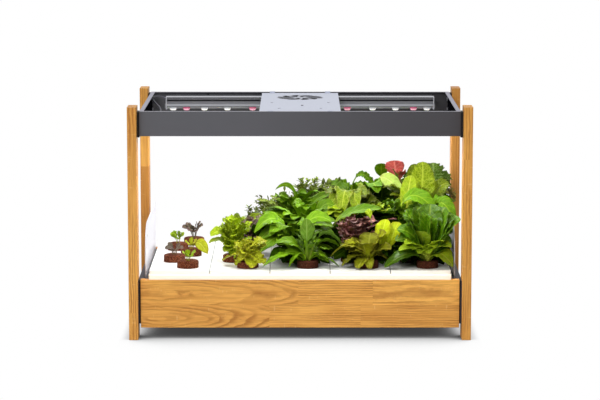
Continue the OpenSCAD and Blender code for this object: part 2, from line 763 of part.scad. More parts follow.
module lamp_lead() {
  sides = 8;
  stops = [for (i = [0:2 * (len(LEAD) - 1)]) i / 2];
  rings = [for (s = stops) let(
      p = lead_at(s), ahead = unit(lead_at(min(s + 0.05, len(LEAD) - 1)) - lead_at(max(s - 0.05, 0))),
      u = unit(cross(ahead, [0, 0, 1])), v = cross(u, ahead))
    [for (j = [0:sides - 1]) p + LEAD_R * (cos(j * 360 / sides) * u + sin(j * 360 / sides) * v)]];
  n = len(rings);
  color([0.5, 0.5, 0.52]) polyhedron([for (r = rings) each r], concat(
    [[for (j = [sides - 1:-1:0]) j]],
    [for (i = [0:n - 2], j = [0:sides - 1]) let(a = i * sides + j, b = i * sides + (j + 1) % sides) each [
      [a, b, a + sides], [b, b + sides, a + sides]]],
    [[for (j = [0:sides - 1]) (n - 1) * sides + j]]));
}

// Low-voltage socket through the lamp's rear wall
module power_inlet() {
  color(BLACK) translate([inlet_x, lamp_half_d, inlet_z]) rotate([90, 0, 0]) {
    difference() {
      union() {
        translate([0, 0, -2]) cylinder(h = 2, r = 6);
        translate([0, 0, -EPS]) cylinder(h = 14, r = 4);
      }
      translate([0, 0, -3]) cylinder(h = 12, r = 2.9);
    }
    translate([0, 0, -1]) cylinder(h = 11, r = 1);
    translate([0, 0, lamp_t]) difference() {
      cylinder(h = 2.5, r = 6, $fn = 6);
      translate([0, 0, -1]) cylinder(h = 5, r = 3.9);
    }
  }
}

post(-1, -1);  // post_front_left
post(1, -1);  // post_front_right
post(-1, 1);  // post_rear_left
post(1, 1);  // post_rear_right
board(-1);  // front_board
board(1);  // rear_board
side_plate(-1);  // side_plate_left
side_plate(1);  // side_plate_right
board_pads();
corner_brackets();
base_bolts();
water_tub();
tray(1);  // tray_1
tray(2);  // tray_2
tray(3);  // tray_3
tray(4);  // tray_4
tray(5);  // tray_5
plugs(1);  // plugs_1
plugs(2);  // plugs_2
plugs(3);  // plugs_3
plugs(4);  // plugs_4
plugs(5);  // plugs_5
plants(1);  // plants_1
plants(2);  // plants_2
plants(3);  // plants_3
plants(4);  // plants_4
plants(5);  // plants_5
side_guard(-1);  // side_guard_left
side_guard(1);  // side_guard_right
lamp_front_panel();
lamp_rear_panel();
lamp_side(-1);  // lamp_side_left
lamp_side(1);  // lamp_side_right
lamp_spacers();
lamp_bolts();
heat_sink(-1);  // heat_sink_front
heat_sink(1);  // heat_sink_rear
bar_end_plates();
led_board(-1);  // led_board_front
led_board(1);  // led_board_rear
white_lenses();
red_lenses();
cover_plate();
cover_screws();
driver_case();
fan_frame();
fan_rotor();
power_button();
cable_bush();
lamp_lead();
power_inlet();
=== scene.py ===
"""Looks of the countertop hydroponic garden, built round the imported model.

+Z is up and the front faces -Y. Shapes are grids of points worked out in millimetres with numpy and put
into meshes in metres. The plants grow from the plugs, whose places come from the frame.
"""
import math

import bpy
import numpy as np
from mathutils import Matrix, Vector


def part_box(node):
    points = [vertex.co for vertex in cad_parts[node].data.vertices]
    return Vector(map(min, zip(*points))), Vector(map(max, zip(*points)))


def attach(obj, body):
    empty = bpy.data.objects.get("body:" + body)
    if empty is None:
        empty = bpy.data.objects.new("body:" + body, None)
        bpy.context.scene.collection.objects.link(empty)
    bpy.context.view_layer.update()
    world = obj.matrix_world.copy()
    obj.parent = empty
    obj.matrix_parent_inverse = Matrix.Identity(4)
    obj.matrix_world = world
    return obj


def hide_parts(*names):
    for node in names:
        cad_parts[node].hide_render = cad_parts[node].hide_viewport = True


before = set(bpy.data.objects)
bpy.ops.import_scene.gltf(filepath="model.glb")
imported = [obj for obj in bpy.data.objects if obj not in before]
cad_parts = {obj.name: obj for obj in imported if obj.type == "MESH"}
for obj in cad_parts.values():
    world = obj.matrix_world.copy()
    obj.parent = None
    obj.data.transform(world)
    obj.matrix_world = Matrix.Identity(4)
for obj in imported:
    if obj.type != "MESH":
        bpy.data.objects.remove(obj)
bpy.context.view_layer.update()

MM = 0.001
# Places in metres, from the frame, that the materials follow
LAMP_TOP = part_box("lamp_front_panel")[1][2]
LAMP_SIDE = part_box("lamp_side_right")[1][0]
SINK_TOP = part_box("heat_sink_rear")[1][2]
BAR_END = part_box("bar_end_plates")[1][0]
LENS_FOOT, LENS_TOP = [corner[2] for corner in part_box("white_lenses")]
FAN_FRONT, FAN_REAR = [corner[1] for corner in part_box("fan_frame")]
TRAY_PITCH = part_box("tray_2")[0][0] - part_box("tray_1")[0][0]

scene = bpy.context.scene
scene.view_settings.view_transform = "Standard"


# ---- Node trees ----

def paint(rgb, level=1.0):
    """Linear colour of an sRGB one, whose parts run from 0 to 255, with its brightness times the level."""
    parts = [v / 255 for v in rgb]
    linear = [v / 12.92 if v <= 0.04045 else ((v + 0.055) / 1.055) ** 2.4 for v in parts]
    return tuple(min(1, v * level) for v in linear) + (1,)


class Value:
    """Output of a node. A sum, difference, product or quotient with it is the output of a new node."""

    def __init__(self, nodes, socket):
        self.nodes, self.socket = nodes, socket

    def __add__(self, other):
        return self.nodes.math("ADD", self, other)

    def __sub__(self, other):
        return self.nodes.math("SUBTRACT", self, other)

    def __rsub__(self, other):
        return self.nodes.math("SUBTRACT", other, self)

    def __mul__(self, other):
        return self.nodes.math("MULTIPLY", self, other)

    def __truediv__(self, other):
        return self.nodes.math("DIVIDE", self, other)

    def __abs__(self):
        return self.nodes.math("ABSOLUTE", self)


class Nodes:
    """Tree of shader nodes. Most methods add a node and return its output."""

    def __init__(self, tree):
        self.tree = tree

    def set(self, socket, value):
        if isinstance(value, Value):
            self.tree.links.new(value.socket, socket)
        else:
            socket.default_value = value

    def add(self, kind, inputs, output=0, **settings):
        node = self.tree.nodes.new("ShaderNode" + kind)
        for key, value in settings.items():
            setattr(node, key, value)
        for key, value in inputs.items():
            self.set(node.inputs[key], value)
        return Value(self, node.outputs[output])

    def end(self, node, shader):
        """Makes a shader what the tree's end node shows."""
        self.set(self.tree.nodes[node].inputs[0], shader)

    def math(self, operation, a, b=0.0):
        return self.add("Math", {0: a, 1: b}, operation=operation)

    def larger(self, a, b):
        return self.math("MAXIMUM", a, b)

    def step(self, value, low, high, **ends):
        """Smooth step from 0 at low to 1 at high, or between other ends."""
        inputs = {"Value": value, "From Min": low, "From Max": high}
        for end, level in ends.items():
            inputs[end.replace("_", " ")] = level
        return self.add("MapRange", inputs, interpolation_type="SMOOTHSTEP")

    def mix(self, share, a, b, how="MIX"):
        """Mix of two colours, each of them an output, an sRGB triple or a linear colour."""
        a, b = [c if isinstance(c, Value) or len(c) == 4 else paint(c) for c in (a, b)]
        return self.add("Mix", {0: share, 6: a, 7: b}, 2, data_type="RGBA", blend_type=how)

    def layers(self, colour, *coats):
        """Colour under coats, from the lowest up, each given as its share and its own colour."""
        for share, coat in coats:
            colour = self.mix(share, colour, coat)
        return colour

    def split(self, vector):
        node = self.tree.nodes.new("ShaderNodeSeparateXYZ")
        self.set(node.inputs[0], vector)
        return [Value(self, part) for part in node.outputs]

    def join(self, x, y, z=0.0):
        return self.add("CombineXYZ", {0: x, 1: y, 2: z})

    def seen_directly(self):
        """1 for rays that show a background: from the camera, off gloss or through glass."""
        camera, gloss, glass = [self.add("LightPath", {}, f"Is {kind} Ray")
                                for kind in ("Camera", "Glossy", "Transmission")]
        return self.larger(self.larger(camera, gloss), glass)


class Finish(Nodes):
    """Material on the usual shader. Its point is the place on the object, in metres."""

    def __init__(self, name):
        self.material = bpy.data.materials.new(name)
        self.material.use_nodes = True
        super().__init__(self.material.node_tree)
        self.shader = self.tree.nodes["Principled BSDF"]
        self.point = self.add("TexCoord", {}, "Object")

    def facing(self):
        """Parts of the surface's normal."""
        return self.split(self.add("NewGeometry", {}, "Normal"))

    def noise(self, scale, detail=3.0, rough=0.5, at=None):
        """Noise of one scale, or of one for each axis, at the point or another place."""
        at = at or self.point
        if isinstance(scale, tuple):
            at = self.add("VectorMath", {0: at, 1: scale}, operation="MULTIPLY")
            scale = 1
        return self.add("TexNoise", {"Vector": at, "Scale": scale, "Detail": detail, "Roughness": rough})

    def bump(self, height, strength, distance, edge=None):
        """Normal of a surface with bumps, whose edges are rounded by a small radius if edge gives one."""
        inputs = {"Height": height, "Strength": strength, "Distance": distance}
        if edge is not None:
            inputs["Normal"] = self.add("Bevel", {"Radius": edge}, samples=4)
        return self.add("Bump", inputs)

    def done(self, colour, roughness, normal=None, **sockets):
        sockets.update(Base_Color=colour, Roughness=roughness)
        if normal is not None:
            sockets["Normal"] = normal
        for name, value in sockets.items():
            self.set(self.shader.inputs[name.replace("_", " ")], value)
        return self.material

    def coat(self, colour, roughness, peel=0.15, edge=0.0006, grain=900, **sockets):
        """Coat or moulded skin with fine orange peel and eased edges."""
        return self.done(colour, roughness, self.bump(self.noise(grain, 2), peel, 0.0001, edge), **sockets)

    def metal(self, colour, lines, roughness, metallic):
        """Metal whose drawing lines are a little rougher than the rest."""
        return self.done(colour, lines * 0.2 + roughness, self.bump(lines, 0.2, 0.0001, 0.0004),
                         Metallic=metallic)


# ---- Camera, floor and light ----

CAMERA_PLACE = (0, -4.398, 0.876)
CAMERA_DIP = 8.378
FOCAL_LENGTH = 141.77
WHITE = (1, 1, 1, 1)
GARDEN = (0, 0, 0.2)
SHADOW_REACH = 0.24


def make_camera():
    """Camera on the middle line, far in front and above the lamp, tipped down at the garden."""
    lens = bpy.data.cameras.new("camera")
    lens.lens = FOCAL_LENGTH
    lens.sensor_width = 36
    lens.clip_end = 100
    camera = bpy.data.objects.new("camera", lens)
    camera.location = CAMERA_PLACE
    camera.rotation_euler = (math.radians(90 - CAMERA_DIP), 0, 0)
    scene.collection.objects.link(camera)
    scene.camera = camera


def make_world(horizon, zenith):
    """White light whose level grows from the horizon to the zenith. The background shows as plain white."""
    world = bpy.data.worlds.new("studio")
    world.use_nodes = True
    n = Nodes(world.node_tree)
    height = n.split(n.add("TexCoord", {}, "Generated"))[2]
    level = n.add("MapRange", {"Value": height, "To Min": horizon, "To Max": zenith})
    light = n.add("Background", {"Color": WHITE, "Strength": level})
    shown = n.add("Background", {"Color": WHITE})
    n.end("World Output", n.add("MixShader", {0: n.seen_directly(), 1: light, 2: shown}))
    scene.world = world


def make_lamp(name, place, target, width, height, power):
    """Soft rectangular lamp at a place, turned to a target."""
    light = bpy.data.lights.new(name, "AREA")
    light.shape = "RECTANGLE"
    light.size = width
    light.size_y = height
    light.energy = power
    lamp = bpy.data.objects.new(name, light)
    lamp.location = place
    away = lamp.location - type(lamp.location)(target)
    lamp.rotation_euler = away.to_track_quat("Z", "Y").to_euler()
    lamp.visible_camera = False
    scene.collection.objects.link(lamp)


def make_floor(size):
    """White floor. Where it is seen directly it shines plain white with a painted shadow, which darkens it,
    between the posts' outer faces, with the share of the sky that near things hide; otherwise it is a pale
    matt surface."""
    half = size / 2
    corners = [(-half, -half, 0), (half, -half, 0), (half, half, 0), (-half, half, 0)]
    mesh = bpy.data.meshes.new("floor")
    mesh.from_pydata(corners, [], [(0, 1, 2, 3)])
    floor = bpy.data.objects.new("floor", mesh)
    scene.collection.objects.link(floor)
    f = Finish("floor_white")
    # Painted shadow: the shine darkens where near things hide the sky
    open_sky = f.add("AmbientOcclusion", {"Distance": SHADOW_REACH}, "AO", samples=16)
    level = f.step(open_sky, 0.04, 0.88, To_Min=0.05, To_Max=1.0)
    beside = f.step(abs(f.split(f.point)[0]), 0.29, 0.33)
    level = f.larger(level, beside)
    f.tree.nodes.remove(f.shader)
    plain = f.add("BsdfDiffuse", {"Color": (0.8, 0.8, 0.8, 1)})
    shown = f.add("Emission", {"Color": f.join(level, level, level)})
    f.end("Material Output", f.add("MixShader", {0: f.seen_directly(), 1: plain, 2: shown}))
    mesh.materials.append(f.material)


make_camera()
make_world(0.12, 0.72)
make_lamp("key", (-1.5, -2.9, 2.4), GARDEN, 1.5, 1.1, 56)
make_lamp("fill", (2.4, -2.4, 1.5), GARDEN, 1.6, 1.6, 13)
make_lamp("top", (0, 0.3, 2.6), GARDEN, 2.0, 1.6, 14)
for bar_y in (-0.136, 0.136):
    make_lamp("grow_light", (0, bar_y, 0.379), (0, bar_y * 0.7, 0), 0.5, 0.02, 1.2)
make_floor(60)


# ---- Materials ----

def coated(name, rgb, roughness, peel=0.15, fade=0.06, **sockets):
    """Painted, anodised or moulded surface: faint cloudy tone, fine orange peel and eased edges."""
    f = Finish(name)
    tone = f.mix(f.step(f.noise(9, 4), 0.3, 0.7), paint(rgb, 1 - fade), paint(rgb, 1 + fade))
    return f.coat(tone, f.noise(60, 2) * 0.12 + (roughness - 0.06), peel, **sockets)


def panel_finish(left, right):
    """Coat of the lamp's long panels, darkened from the left end to the right one by painted shade. Their
    rims carry a painted highlight, and the rear panel's inside just above the lenses a painted pool of
    their light."""
    f = Finish("anthracite_coat")
    x, y, z = f.split(f.point)
    normal = f.facing()
    # Painted highlight on the up-facing rims
    rim = f.step(normal[2], 0.5, 0.9) * f.step(z, LAMP_TOP - 0.0012, LAMP_TOP - 0.0006)
    inside = f.step(y, 0.0, 0.01) * f.step(normal[1], -0.5, -0.9)
    # Painted pool of the lenses' light on the rear panel's inside, behind the bars
    lit = (f.step(z, LENS_TOP + 0.0026, LENS_TOP + 0.0016)
           * f.step(z, LENS_FOOT - 0.0016, LENS_FOOT - 0.0002))
    behind = inside * f.step(abs(x), BAR_END + 0.0055, BAR_END + 0.0015)
    # Painted shade darkens the tone from the left end to the right one
    tone = f.layers(f.mix(f.step(x, -0.2, 0.32), left, right), (f.noise(9, 4) * 0.12, (40, 40, 44)),
                    (rim, (150, 150, 160)), (behind * lit, (186, 188, 194)))
    return f.coat(tone, 0.48, Specular_IOR_Level=0.35)


def sink_finish():
    """Aluminium bar with painted light and shade: painted highlights on top and along its sloping lip, and
    painted shade on its upper fin.
    """
    f = Finish("bare_aluminium")
    z = f.split(f.point)[2]
    lines = f.noise((6, 700, 700), 3)
    # Painted highlight on the up-facing top faces
    up = f.step(f.facing()[2], 0.5, 0.9)
    # Painted highlight along the sloping lip below the fins
    painted_lit_lip = f.step(z, SINK_TOP - 0.0132, SINK_TOP - 0.0137)
    tone = f.layers(f.mix(painted_lit_lip, (120, 120, 126), (158, 160, 166)),
                    # Painted shade on the upper fin
                    (f.step(z, SINK_TOP - 0.007, SINK_TOP - 0.006), (92, 92, 98)),
                    (up * f.step(z, SINK_TOP - 0.001, SINK_TOP - 0.0005), (196, 198, 204)),
                    (lines * 0.25, (60, 60, 64)))
    return f.metal(tone, lines, 0.4, 0.3)


def side_finish(outer, inner):
    """Coat of the lamp's sides. Painted shade makes their inner faces under the rim nearly black and
    without gloss; a painted sheen makes their outer faces and top rims pale.
    """
    f = Finish("lamp_side_coat")
    x, _, z = f.split(f.point)
    # Painted sheen on the outer faces and top rims
    outside = f.step(abs(x), LAMP_SIDE - 0.0018, LAMP_SIDE - 0.0012)
    outside = f.larger(outside, f.step(z, LAMP_TOP - 0.0012, LAMP_TOP - 0.0008))
    # The inner colour is painted shade
    tone = f.layers(f.mix(outside, inner, outer), (f.noise(9, 4) * 0.12, (30, 30, 34)))
    return f.coat(tone, 0.5, Specular_IOR_Level=outside * 0.3)


def tray_finish():
    """White plastic with painted shade, grey, in the narrow gaps between the trays."""
    f = Finish("tray_plastic")
    x = f.split(f.point)[0]
    share = f.math("FRACT", (x + 5.5 * TRAY_PITCH) / TRAY_PITCH)
    # Painted shade in the narrow gaps between the trays
    painted_gap_shade = f.step(abs(share - 0.5), 0.489, 0.496) * f.math("LESS_THAN", abs(x), 2.4 * TRAY_PITCH)
    cloud = f.noise(30, 3)
    tone = f.layers((246, 245, 241), (cloud * 0.5, (238, 237, 232)), (painted_gap_shade * 0.75, (110, 110, 112)))
    return f.coat(tone, cloud * 0.1 + 0.33, 0.06, 0.001, 700)


def cover_finish():
    """Light grey coat with painted shade over the vent; the narrow walls of the vent's slots carry painted
    shade and are nearly black.
    """
    f = Finish("cover_coat")
    x, y, _ = f.split(f.point)
    vent = (0, (FAN_FRONT + FAN_REAR) / 2, 0)
    reach = (FAN_REAR - FAN_FRONT) / 2
    off = f.add("VectorMath", {0: f.join(x, y), 1: vent}, "Value", operation="DISTANCE")
    # Painted shade: the slots' walls go nearly black and the vent's disc darker
    slot_wall_shade = (1.0 - f.step(f.facing()[2], 0.3, 0.8)) * f.math("LESS_THAN", off, reach)
    tone = f.layers((190, 195, 211), (f.noise(9, 4) * 0.1, (170, 174, 192)),
                    ((1.0 - f.step(off, reach - 0.004, reach)) * 0.45, (60, 56, 66)), (slot_wall_shade, (12, 8, 14)))
    return f.coat(tone, 0.45, edge=0.0004)


def drawn_metal(name, rgb, roughness, axis, metallic):
    """Bare or dulled metal with fine drawing lines along an axis."""
    f = Finish(name)
    lines = f.noise(tuple(6 if number == axis else 700 for number in range(3)), 3)
    return f.metal(f.mix(lines, paint(rgb, 0.85), rgb), lines, roughness - 0.1, metallic)


RING = 0.0044


class Wood(Finish):
    """Finger-jointed oak. Its blocks are listed stave by stave as (end, tone, heart along, heart across,
    heart depth, lean, figure). The rings are circles round a heart line that leans against the face, so
    the face cuts them into arches where the heart is near it, and into straight lines where it is far to
    a side. figure is how far the rings wander. Places are in metres in the object's frame."""

    def __init__(self, name, grain, across, staves, glue_line=None):
        super().__init__(name)
        axes = self.split(self.point)
        self.along, self.wide, self.deep = axes[grain], axes[across], axes[3 - grain - across]
        stave = 0.0 if glue_line is None else self.math("GREATER_THAN", self.wide, glue_line)
        self.shares, self.rows = [], []
        for number, blocks in enumerate(staves):
            in_stave = self.add("Math", {0: stave, 1: float(number), 2: 0.5}, operation="COMPARE")
            beyond = in_stave
            for end, *row in blocks:
                self.shares.append(beyond * self.math("LESS_THAN", self.along, end))
                self.rows.append(row)
                beyond = in_stave * self.math("GREATER_THAN", self.along, end)

    def of_block(self, column):
        """Sum of each block's value times its share, which is 1 inside the block."""
        total = 0.0
        for share, row in zip(self.shares, self.rows):
            total = self.add("Math", {0: share, 1: float(row[column]), 2: total}, operation="MULTIPLY_ADD")
        return total

    def finished(self):
        tone, heart_along, heart_across, heart_depth, lean, figure = [self.of_block(i) for i in range(6)]
        local = self.join(self.along + heart_depth * 31.0, self.wide, self.deep)
        waves = self.noise((14, 34, 34), 2, 0.4, local) - 0.5
        ripple = self.noise((60, 130, 130), 2, 0.5, local) - 0.5
        u = (self.along - heart_along) * lean
        v = self.wide - heart_across
        w = self.deep - heart_depth
        radius = self.math("SQRT", u * u + v * v + w * w) + waves * figure + ripple * 0.0022
        ring = self.math("FRACT", radius / RING)
        line = self.step(ring, 0.0, 0.16) * (1.0 - self.step(ring, 0.2, 0.75))
        strength = self.step(self.noise((9, 50, 50), 2, at=local), 0.3, 0.65)
        fibre = self.noise((22, 620, 620), 3, 0.65, local)
        coarse = self.noise((10, 210, 210), 3, 0.6, local)
        pores = self.step(self.noise((70, 1500, 1500), 1, at=local), 0.6, 0.7)
        flecks = self.step(self.noise((260, 60, 60), 1, at=local), 0.68, 0.76)
        colour = self.layers(
            self.mix(tone, (248, 188, 92), (182, 120, 50)),
            (self.step(coarse, 0.38, 0.66) * 0.4, (192, 126, 48)),
            (line * strength * 0.72, (150, 88, 28)), (self.step(fibre, 0.42, 0.7) * 0.4, (168, 104, 38)),
            (flecks * 0.3, (238, 196, 128)), (pores * strength * 0.4, (124, 76, 36)))
        return self.done(colour, line * 0.1 + 0.48, self.bump(line * 0.3 - pores, 0.25, 0.0002, 0.0008),
                         Specular_IOR_Level=0.3)


def soil(name, shade_share):
    """Pressed peat: dark red-brown crumbs with pale fibres and specks; shaded peat carries painted shade
    and is darker.
    """
    f = Finish(name)
    crumbs = f.noise(520, 5, 0.65)
    fibres = f.step(f.noise((900, 900, 260), 2), 0.6, 0.7)
    specks = f.step(f.noise(700, 1), 0.72, 0.76)
    colour = f.layers(f.mix(f.step(crumbs, 0.35, 0.7), (56, 24, 16), (136, 76, 50)),
                      (fibres * 0.5, (168, 106, 68)), (specks * 0.6, (205, 180, 150)), (shade_share, (30, 10, 6)))
    return f.done(colour, 0.95, f.bump(crumbs, 0.8, 0.001), Specular_IOR_Level=0.1)


def leaf_finish(name, young, blade, vein, rim=None, rim_share=0.0, rim_width=0.35, veins=9, gloss=0.5,
                blister=0.25, shine=0.1, net=0.0):
    """Leaf. In its UV map u runs from the stalk to the tip and v across. The blade pales towards the stalk,
    the midrib and slanting side veins stand out, and a rim colour spreads inwards from the edge. net is the
    strength of the fine net of veins, which are the borders of random cells."""
    f = Finish(name)
    u, v, _ = f.split(f.add("UVMap", {}))
    off = abs((v - 0.5) * 2.0)
    dark = paint(blade, 0.5)
    blotch = f.noise(90, 3)
    base = f.step(u + blotch * 0.15, 0.1, 0.42)
    colour = f.layers(f.mix(base, young, blade), (f.step(blotch, 0.4, 0.7) * 0.55, dark),
                      (f.step(f.noise(300, 2), 0.48, 0.7) * blister, dark))
    if net:
        cells = f.add("TexVoronoi", {"Vector": f.point, "Scale": 190.0}, "Distance",
                      feature="DISTANCE_TO_EDGE")
        border = f.step(cells, 0.02, 0.13)
        colour = f.layers(colour, (border * net, dark), ((1.0 - border) * net, vein))
    if rim is not None:
        spread = f.larger(off, f.step(u, 0.45, 1.1)) + (blotch - 0.5) * 0.6
        colour = f.mix(f.step(spread, 1 - rim_width, 1.0) * rim_share, colour, rim)
    slant = u * float(veins) - off * 1.6 + f.noise(60, 2) * 0.35
    line = abs(f.math("FRACT", slant) - 0.5)
    side_vein = (1.0 - f.step(line, 0.02, 0.14)) * f.step(u, 0.1, 0.3)
    ribs = f.larger(1.0 - f.step(off, 0.02, 0.13), side_vein * 0.45)
    # Each leaf's level darkens it: partly its own tone at random, partly painted shade for leaves deep in
    # the plants
    shade = f.add("Attribute", {}, "Fac", attribute_name="tone_and_shade") * 0.62 + 0.4
    colour = f.mix(1.0, f.mix(ribs * 0.75, colour, vein), f.join(shade, shade, shade), "MULTIPLY")
    height = ribs * -0.6 + f.noise(260, 2) * blister
    return f.done(colour, gloss, f.bump(height, 0.6, 0.0011), Subsurface_Weight=0.08,
                  Subsurface_Radius=(1.0, 1.0, 0.2), Subsurface_Scale=0.0015, Specular_IOR_Level=shine)


def lens_finish(name, rim, core):
    """Lit lens: a clear-edged dome that glows towards its foot, where the light leaves it."""
    f = Finish(name)
    glow = f.step(f.split(f.point)[2], LENS_TOP - 0.0011, LENS_FOOT + 0.0009)
    colour = f.mix(glow, rim, core)
    return f.done(colour, 0.2, Emission_Color=colour, Emission_Strength=0.45)


def dress(material, *nodes):
    """Gives CAD nodes a finish."""
    for node in nodes:
        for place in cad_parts[node].material_slots:
            place.material = material


# ---- Finishes of the CAD nodes ----

END = 1.0
POSTS = {
    "post_front_left": [
        (0.05, 0.35, 0.1, -0.33, -0.18, 0.05, 0.006), (0.294, 0.3, 0.2, -0.36, -0.2, 0.03, 0.005),
        (END, 0.52, 0.42, -0.325, -0.17, 0.05, 0.006)],
    "post_front_right": [
        (0.13, 0.5, 0.0, 0.34, -0.2, 0.04, 0.006), (0.33, 0.4, 0.25, 0.33, -0.175, 0.05, 0.006),
        (END, 0.36, 0.5, 0.36, -0.17, 0.03, 0.005)],
    # The rear posts' darker blocks are partly the oak's own tone and partly painted shade
    "post_rear_left": [
        (0.272, 0.85, 0.1, -0.33, 0.15, 0.05, 0.006), (END, 0.3, 0.4, -0.34, 0.15, 0.04, 0.006)],
    "post_rear_right": [
        (0.16, 0.7, 0.0, 0.33, 0.15, 0.04, 0.006), (END, 0.74, 0.4, 0.33, 0.15, 0.05, 0.006)],
}
GLUE_LINE = 0.0627
BOARDS = {
    "front_board": [
        [(-0.0556, 0.36, -0.27, 0.040, -0.192, 0.16, 0.014), (0.11, 0.32, 0.05, 0.26, -0.19, 0.03, 0.004),
         (END, 0.42, 0.2, 0.24, -0.21, 0.03, 0.005)],
        [(-0.003, 0.3, -0.26, 0.082, -0.198, 0.12, 0.012), (0.132, 0.24, 0.05, 0.27, -0.2, 0.03, 0.004),
         (END, 0.04, 0.2, 0.084, -0.215, 0.1, 0.009)]],
    "rear_board": [
        [(-0.12, 0.3, -0.2, 0.044, 0.2, 0.12, 0.01), (0.07, 0.4, 0.0, 0.25, 0.2, 0.03, 0.004),
         (END, 0.28, 0.16, 0.04, 0.195, 0.14, 0.01)],
        [(-0.04, 0.34, -0.1, 0.24, 0.2, 0.03, 0.005), (0.15, 0.24, 0.05, 0.085, 0.2, 0.12, 0.01),
         (END, 0.36, 0.2, 0.26, 0.2, 0.03, 0.004)]],
}
for post, blocks in POSTS.items():
    dress(Wood("oak_" + post, 2, 0, [blocks]).finished(), post)
for board, staves in BOARDS.items():
    dress(Wood("oak_" + board, 0, 2, staves, GLUE_LINE).finished(), board)

# The darker right-end colour is painted shade
dress(panel_finish((86, 86, 91), (62, 60, 64)), "lamp_front_panel", "lamp_rear_panel")
# The pale outer colour is painted sheen, the near-black inner one painted shade
dress(side_finish((150, 150, 164), (10, 10, 15)), "lamp_side_left", "lamp_side_right")
dress(cover_finish(), "cover_plate")
dress(tray_finish(), *[f"tray_{n}" for n in range(1, 6)])
dress(sink_finish(), "heat_sink_front", "heat_sink_rear")
dress(lens_finish("lens_white", (150, 152, 158), (255, 255, 255)), "white_lenses")
dress(lens_finish("lens_red", (164, 70, 102), (244, 176, 198)), "red_lenses")
dress(coated("rail_coat", (60, 60, 68), 0.5, Specular_IOR_Level=0.2), "side_plate_left", "side_plate_right")
dress(coated("black_plastic", (22, 22, 25), 0.6, Specular_IOR_Level=0.25), "lamp_spacers", "board_pads",
      "power_inlet", "cable_bush")
dress(coated("fan_plastic", (26, 26, 29), 0.5), "fan_frame", "fan_rotor")
# The tub's faint glow is painted light that brightens its front rim
dress(coated("tub_plastic", (252, 246, 228), 0.4, 0.05, 0.01, Emission_Color=paint((255, 240, 210)),
             Emission_Strength=0.12), "water_tub")
dress(coated("button_grey", (120, 120, 126), 0.4), "power_button")
dress(coated("strip_white", (120, 121, 126), 0.5), "led_board_front", "led_board_rear")
dress(coated("guard_film", (240, 240, 250), 0.3, fade=0.01, Transmission_Weight=0.15), "side_guard_left",
      "side_guard_right")
dress(drawn_metal("end_plate_metal", (190, 190, 198), 0.45, 2, 0.5), "bar_end_plates")
dress(drawn_metal("driver_metal", (150, 150, 154), 0.45, 0, 0.8), "driver_case")
dress(drawn_metal("zinc_steel", (150, 150, 156), 0.4, 2, 0.9), "corner_brackets", "base_bolts",
      "lamp_bolts")
dress(drawn_metal("pale_screws", (186, 188, 198), 0.5, 2, 0.3), "cover_screws")


# ---- Meshes from grids of points ----

class Skin:
    """Collects closed rings of points, in millimetres, into one mesh with a UV map and a level of tone and
    painted shade for each point.
    """

    def __init__(self):
        self.points, self.faces, self.uvs, self.tones_and_shades = [], [], [], []
        self.count = 0

    def add(self, rings, uv, tone_and_shade):
        """rings has the shape (steps, points in a ring, 3) and turns clockwise as seen from its end. Its
        two ends are closed by strips between the ring's two halves."""
        steps, around = rings.shape[:2]
        index = np.arange(steps * around).reshape(steps, around) + self.count
        after = np.roll(index, -1, 1)
        walls = np.stack([index[:-1], index[1:], after[1:], after[:-1]], -1).reshape(-1, 4)
        near = np.arange(around // 2 - 1)
        far = around - 1 - near
        first, last = index[0], index[-1]
        start = np.stack([first[near], first[near + 1], first[far - 1], first[far]], -1)
        end = np.stack([last[far], last[far - 1], last[near + 1], last[near]], -1)
        self.faces.append(np.concatenate([walls, start, end]))
        self.points.append(rings.reshape(-1, 3))
        self.uvs.append(uv.reshape(-1, 2))
        self.tones_and_shades.append(np.full(steps * around, tone_and_shade))
        self.count += steps * around

    def piece(self, name, material):
        """Mesh object of all that was added."""
        points = np.concatenate(self.points) * MM
        faces = np.concatenate(self.faces)
        mesh = bpy.data.meshes.new(name)
        mesh.from_pydata(points, [], faces)
        layer = mesh.uv_layers.new(name="UVMap")
        layer.data.foreach_set("uv", np.concatenate(self.uvs)[faces.ravel()].astype(np.float32).ravel())
        tone_and_shade = mesh.attributes.new("tone_and_shade", "FLOAT", "POINT")
        tone_and_shade.data.foreach_set("value", np.concatenate(self.tones_and_shades).astype(np.float32))
        mesh.shade_smooth()
        mesh.materials.append(material)
        obj = bpy.data.objects.new(name, mesh)
        scene.collection.objects.link(obj)
        return obj


def units(vectors):
    return vectors / np.linalg.norm(vectors, axis=-1, keepdims=True)


def rough(points, size, seed):
    """Smooth random height of points: the mean of 14 plane waves about size long, in random directions."""
    rng = np.random.default_rng(seed)
    ways = units(rng.normal(size=(14, 3))) * (2 * np.pi / size) * rng.uniform(0.6, 1.6, (14, 1))
    return np.cos(points @ ways.T + rng.uniform(0, 2 * np.pi, 14)).mean(-1) * 2


def tube(path, radius, sides=8):
    """Round tube: a circle carried square to the path, of a radius for each of its points."""
    ahead = units(np.gradient(path, axis=0))
    flat = np.cross(ahead, (0, 0, 1.0))
    steep = np.linalg.norm(flat, axis=1) < 0.05
    flat[steep] = (1.0, 0, 0)
    side = units(flat)
    up = np.cross(side, ahead)
    turn = -np.linspace(0, 2 * np.pi, sides, endpoint=False)[None, :, None]
    ring = side[:, None] * np.cos(turn) + up[:, None] * np.sin(turn)
    rings = path[:, None] + ring * np.broadcast_to(radius, len(path))[:, None, None]
    u = np.broadcast_to(np.linspace(0, 1, len(path))[:, None], rings.shape[:2])
    return rings, np.stack([u, np.full(rings.shape[:2], 0.5)], -1)


def arc(start, end, rise, steps):
    """Quadratic curve from start to end. Its control point stands over 0.3 of the way, at the height
    rise."""
    s = np.linspace(0, 1, steps)[:, None]
    control = np.array([start[0] + 0.3 * (end[0] - start[0]), start[1] + 0.3 * (end[1] - start[1]), rise])
    return (1 - s) ** 2 * start + 2 * s * (1 - s) * control + s ** 2 * end


# Points along the stem of a sprig
STEM_STEPS = 14
# Thickness of a leaf's blade in millimetres
BLADE_THICK = 0.35
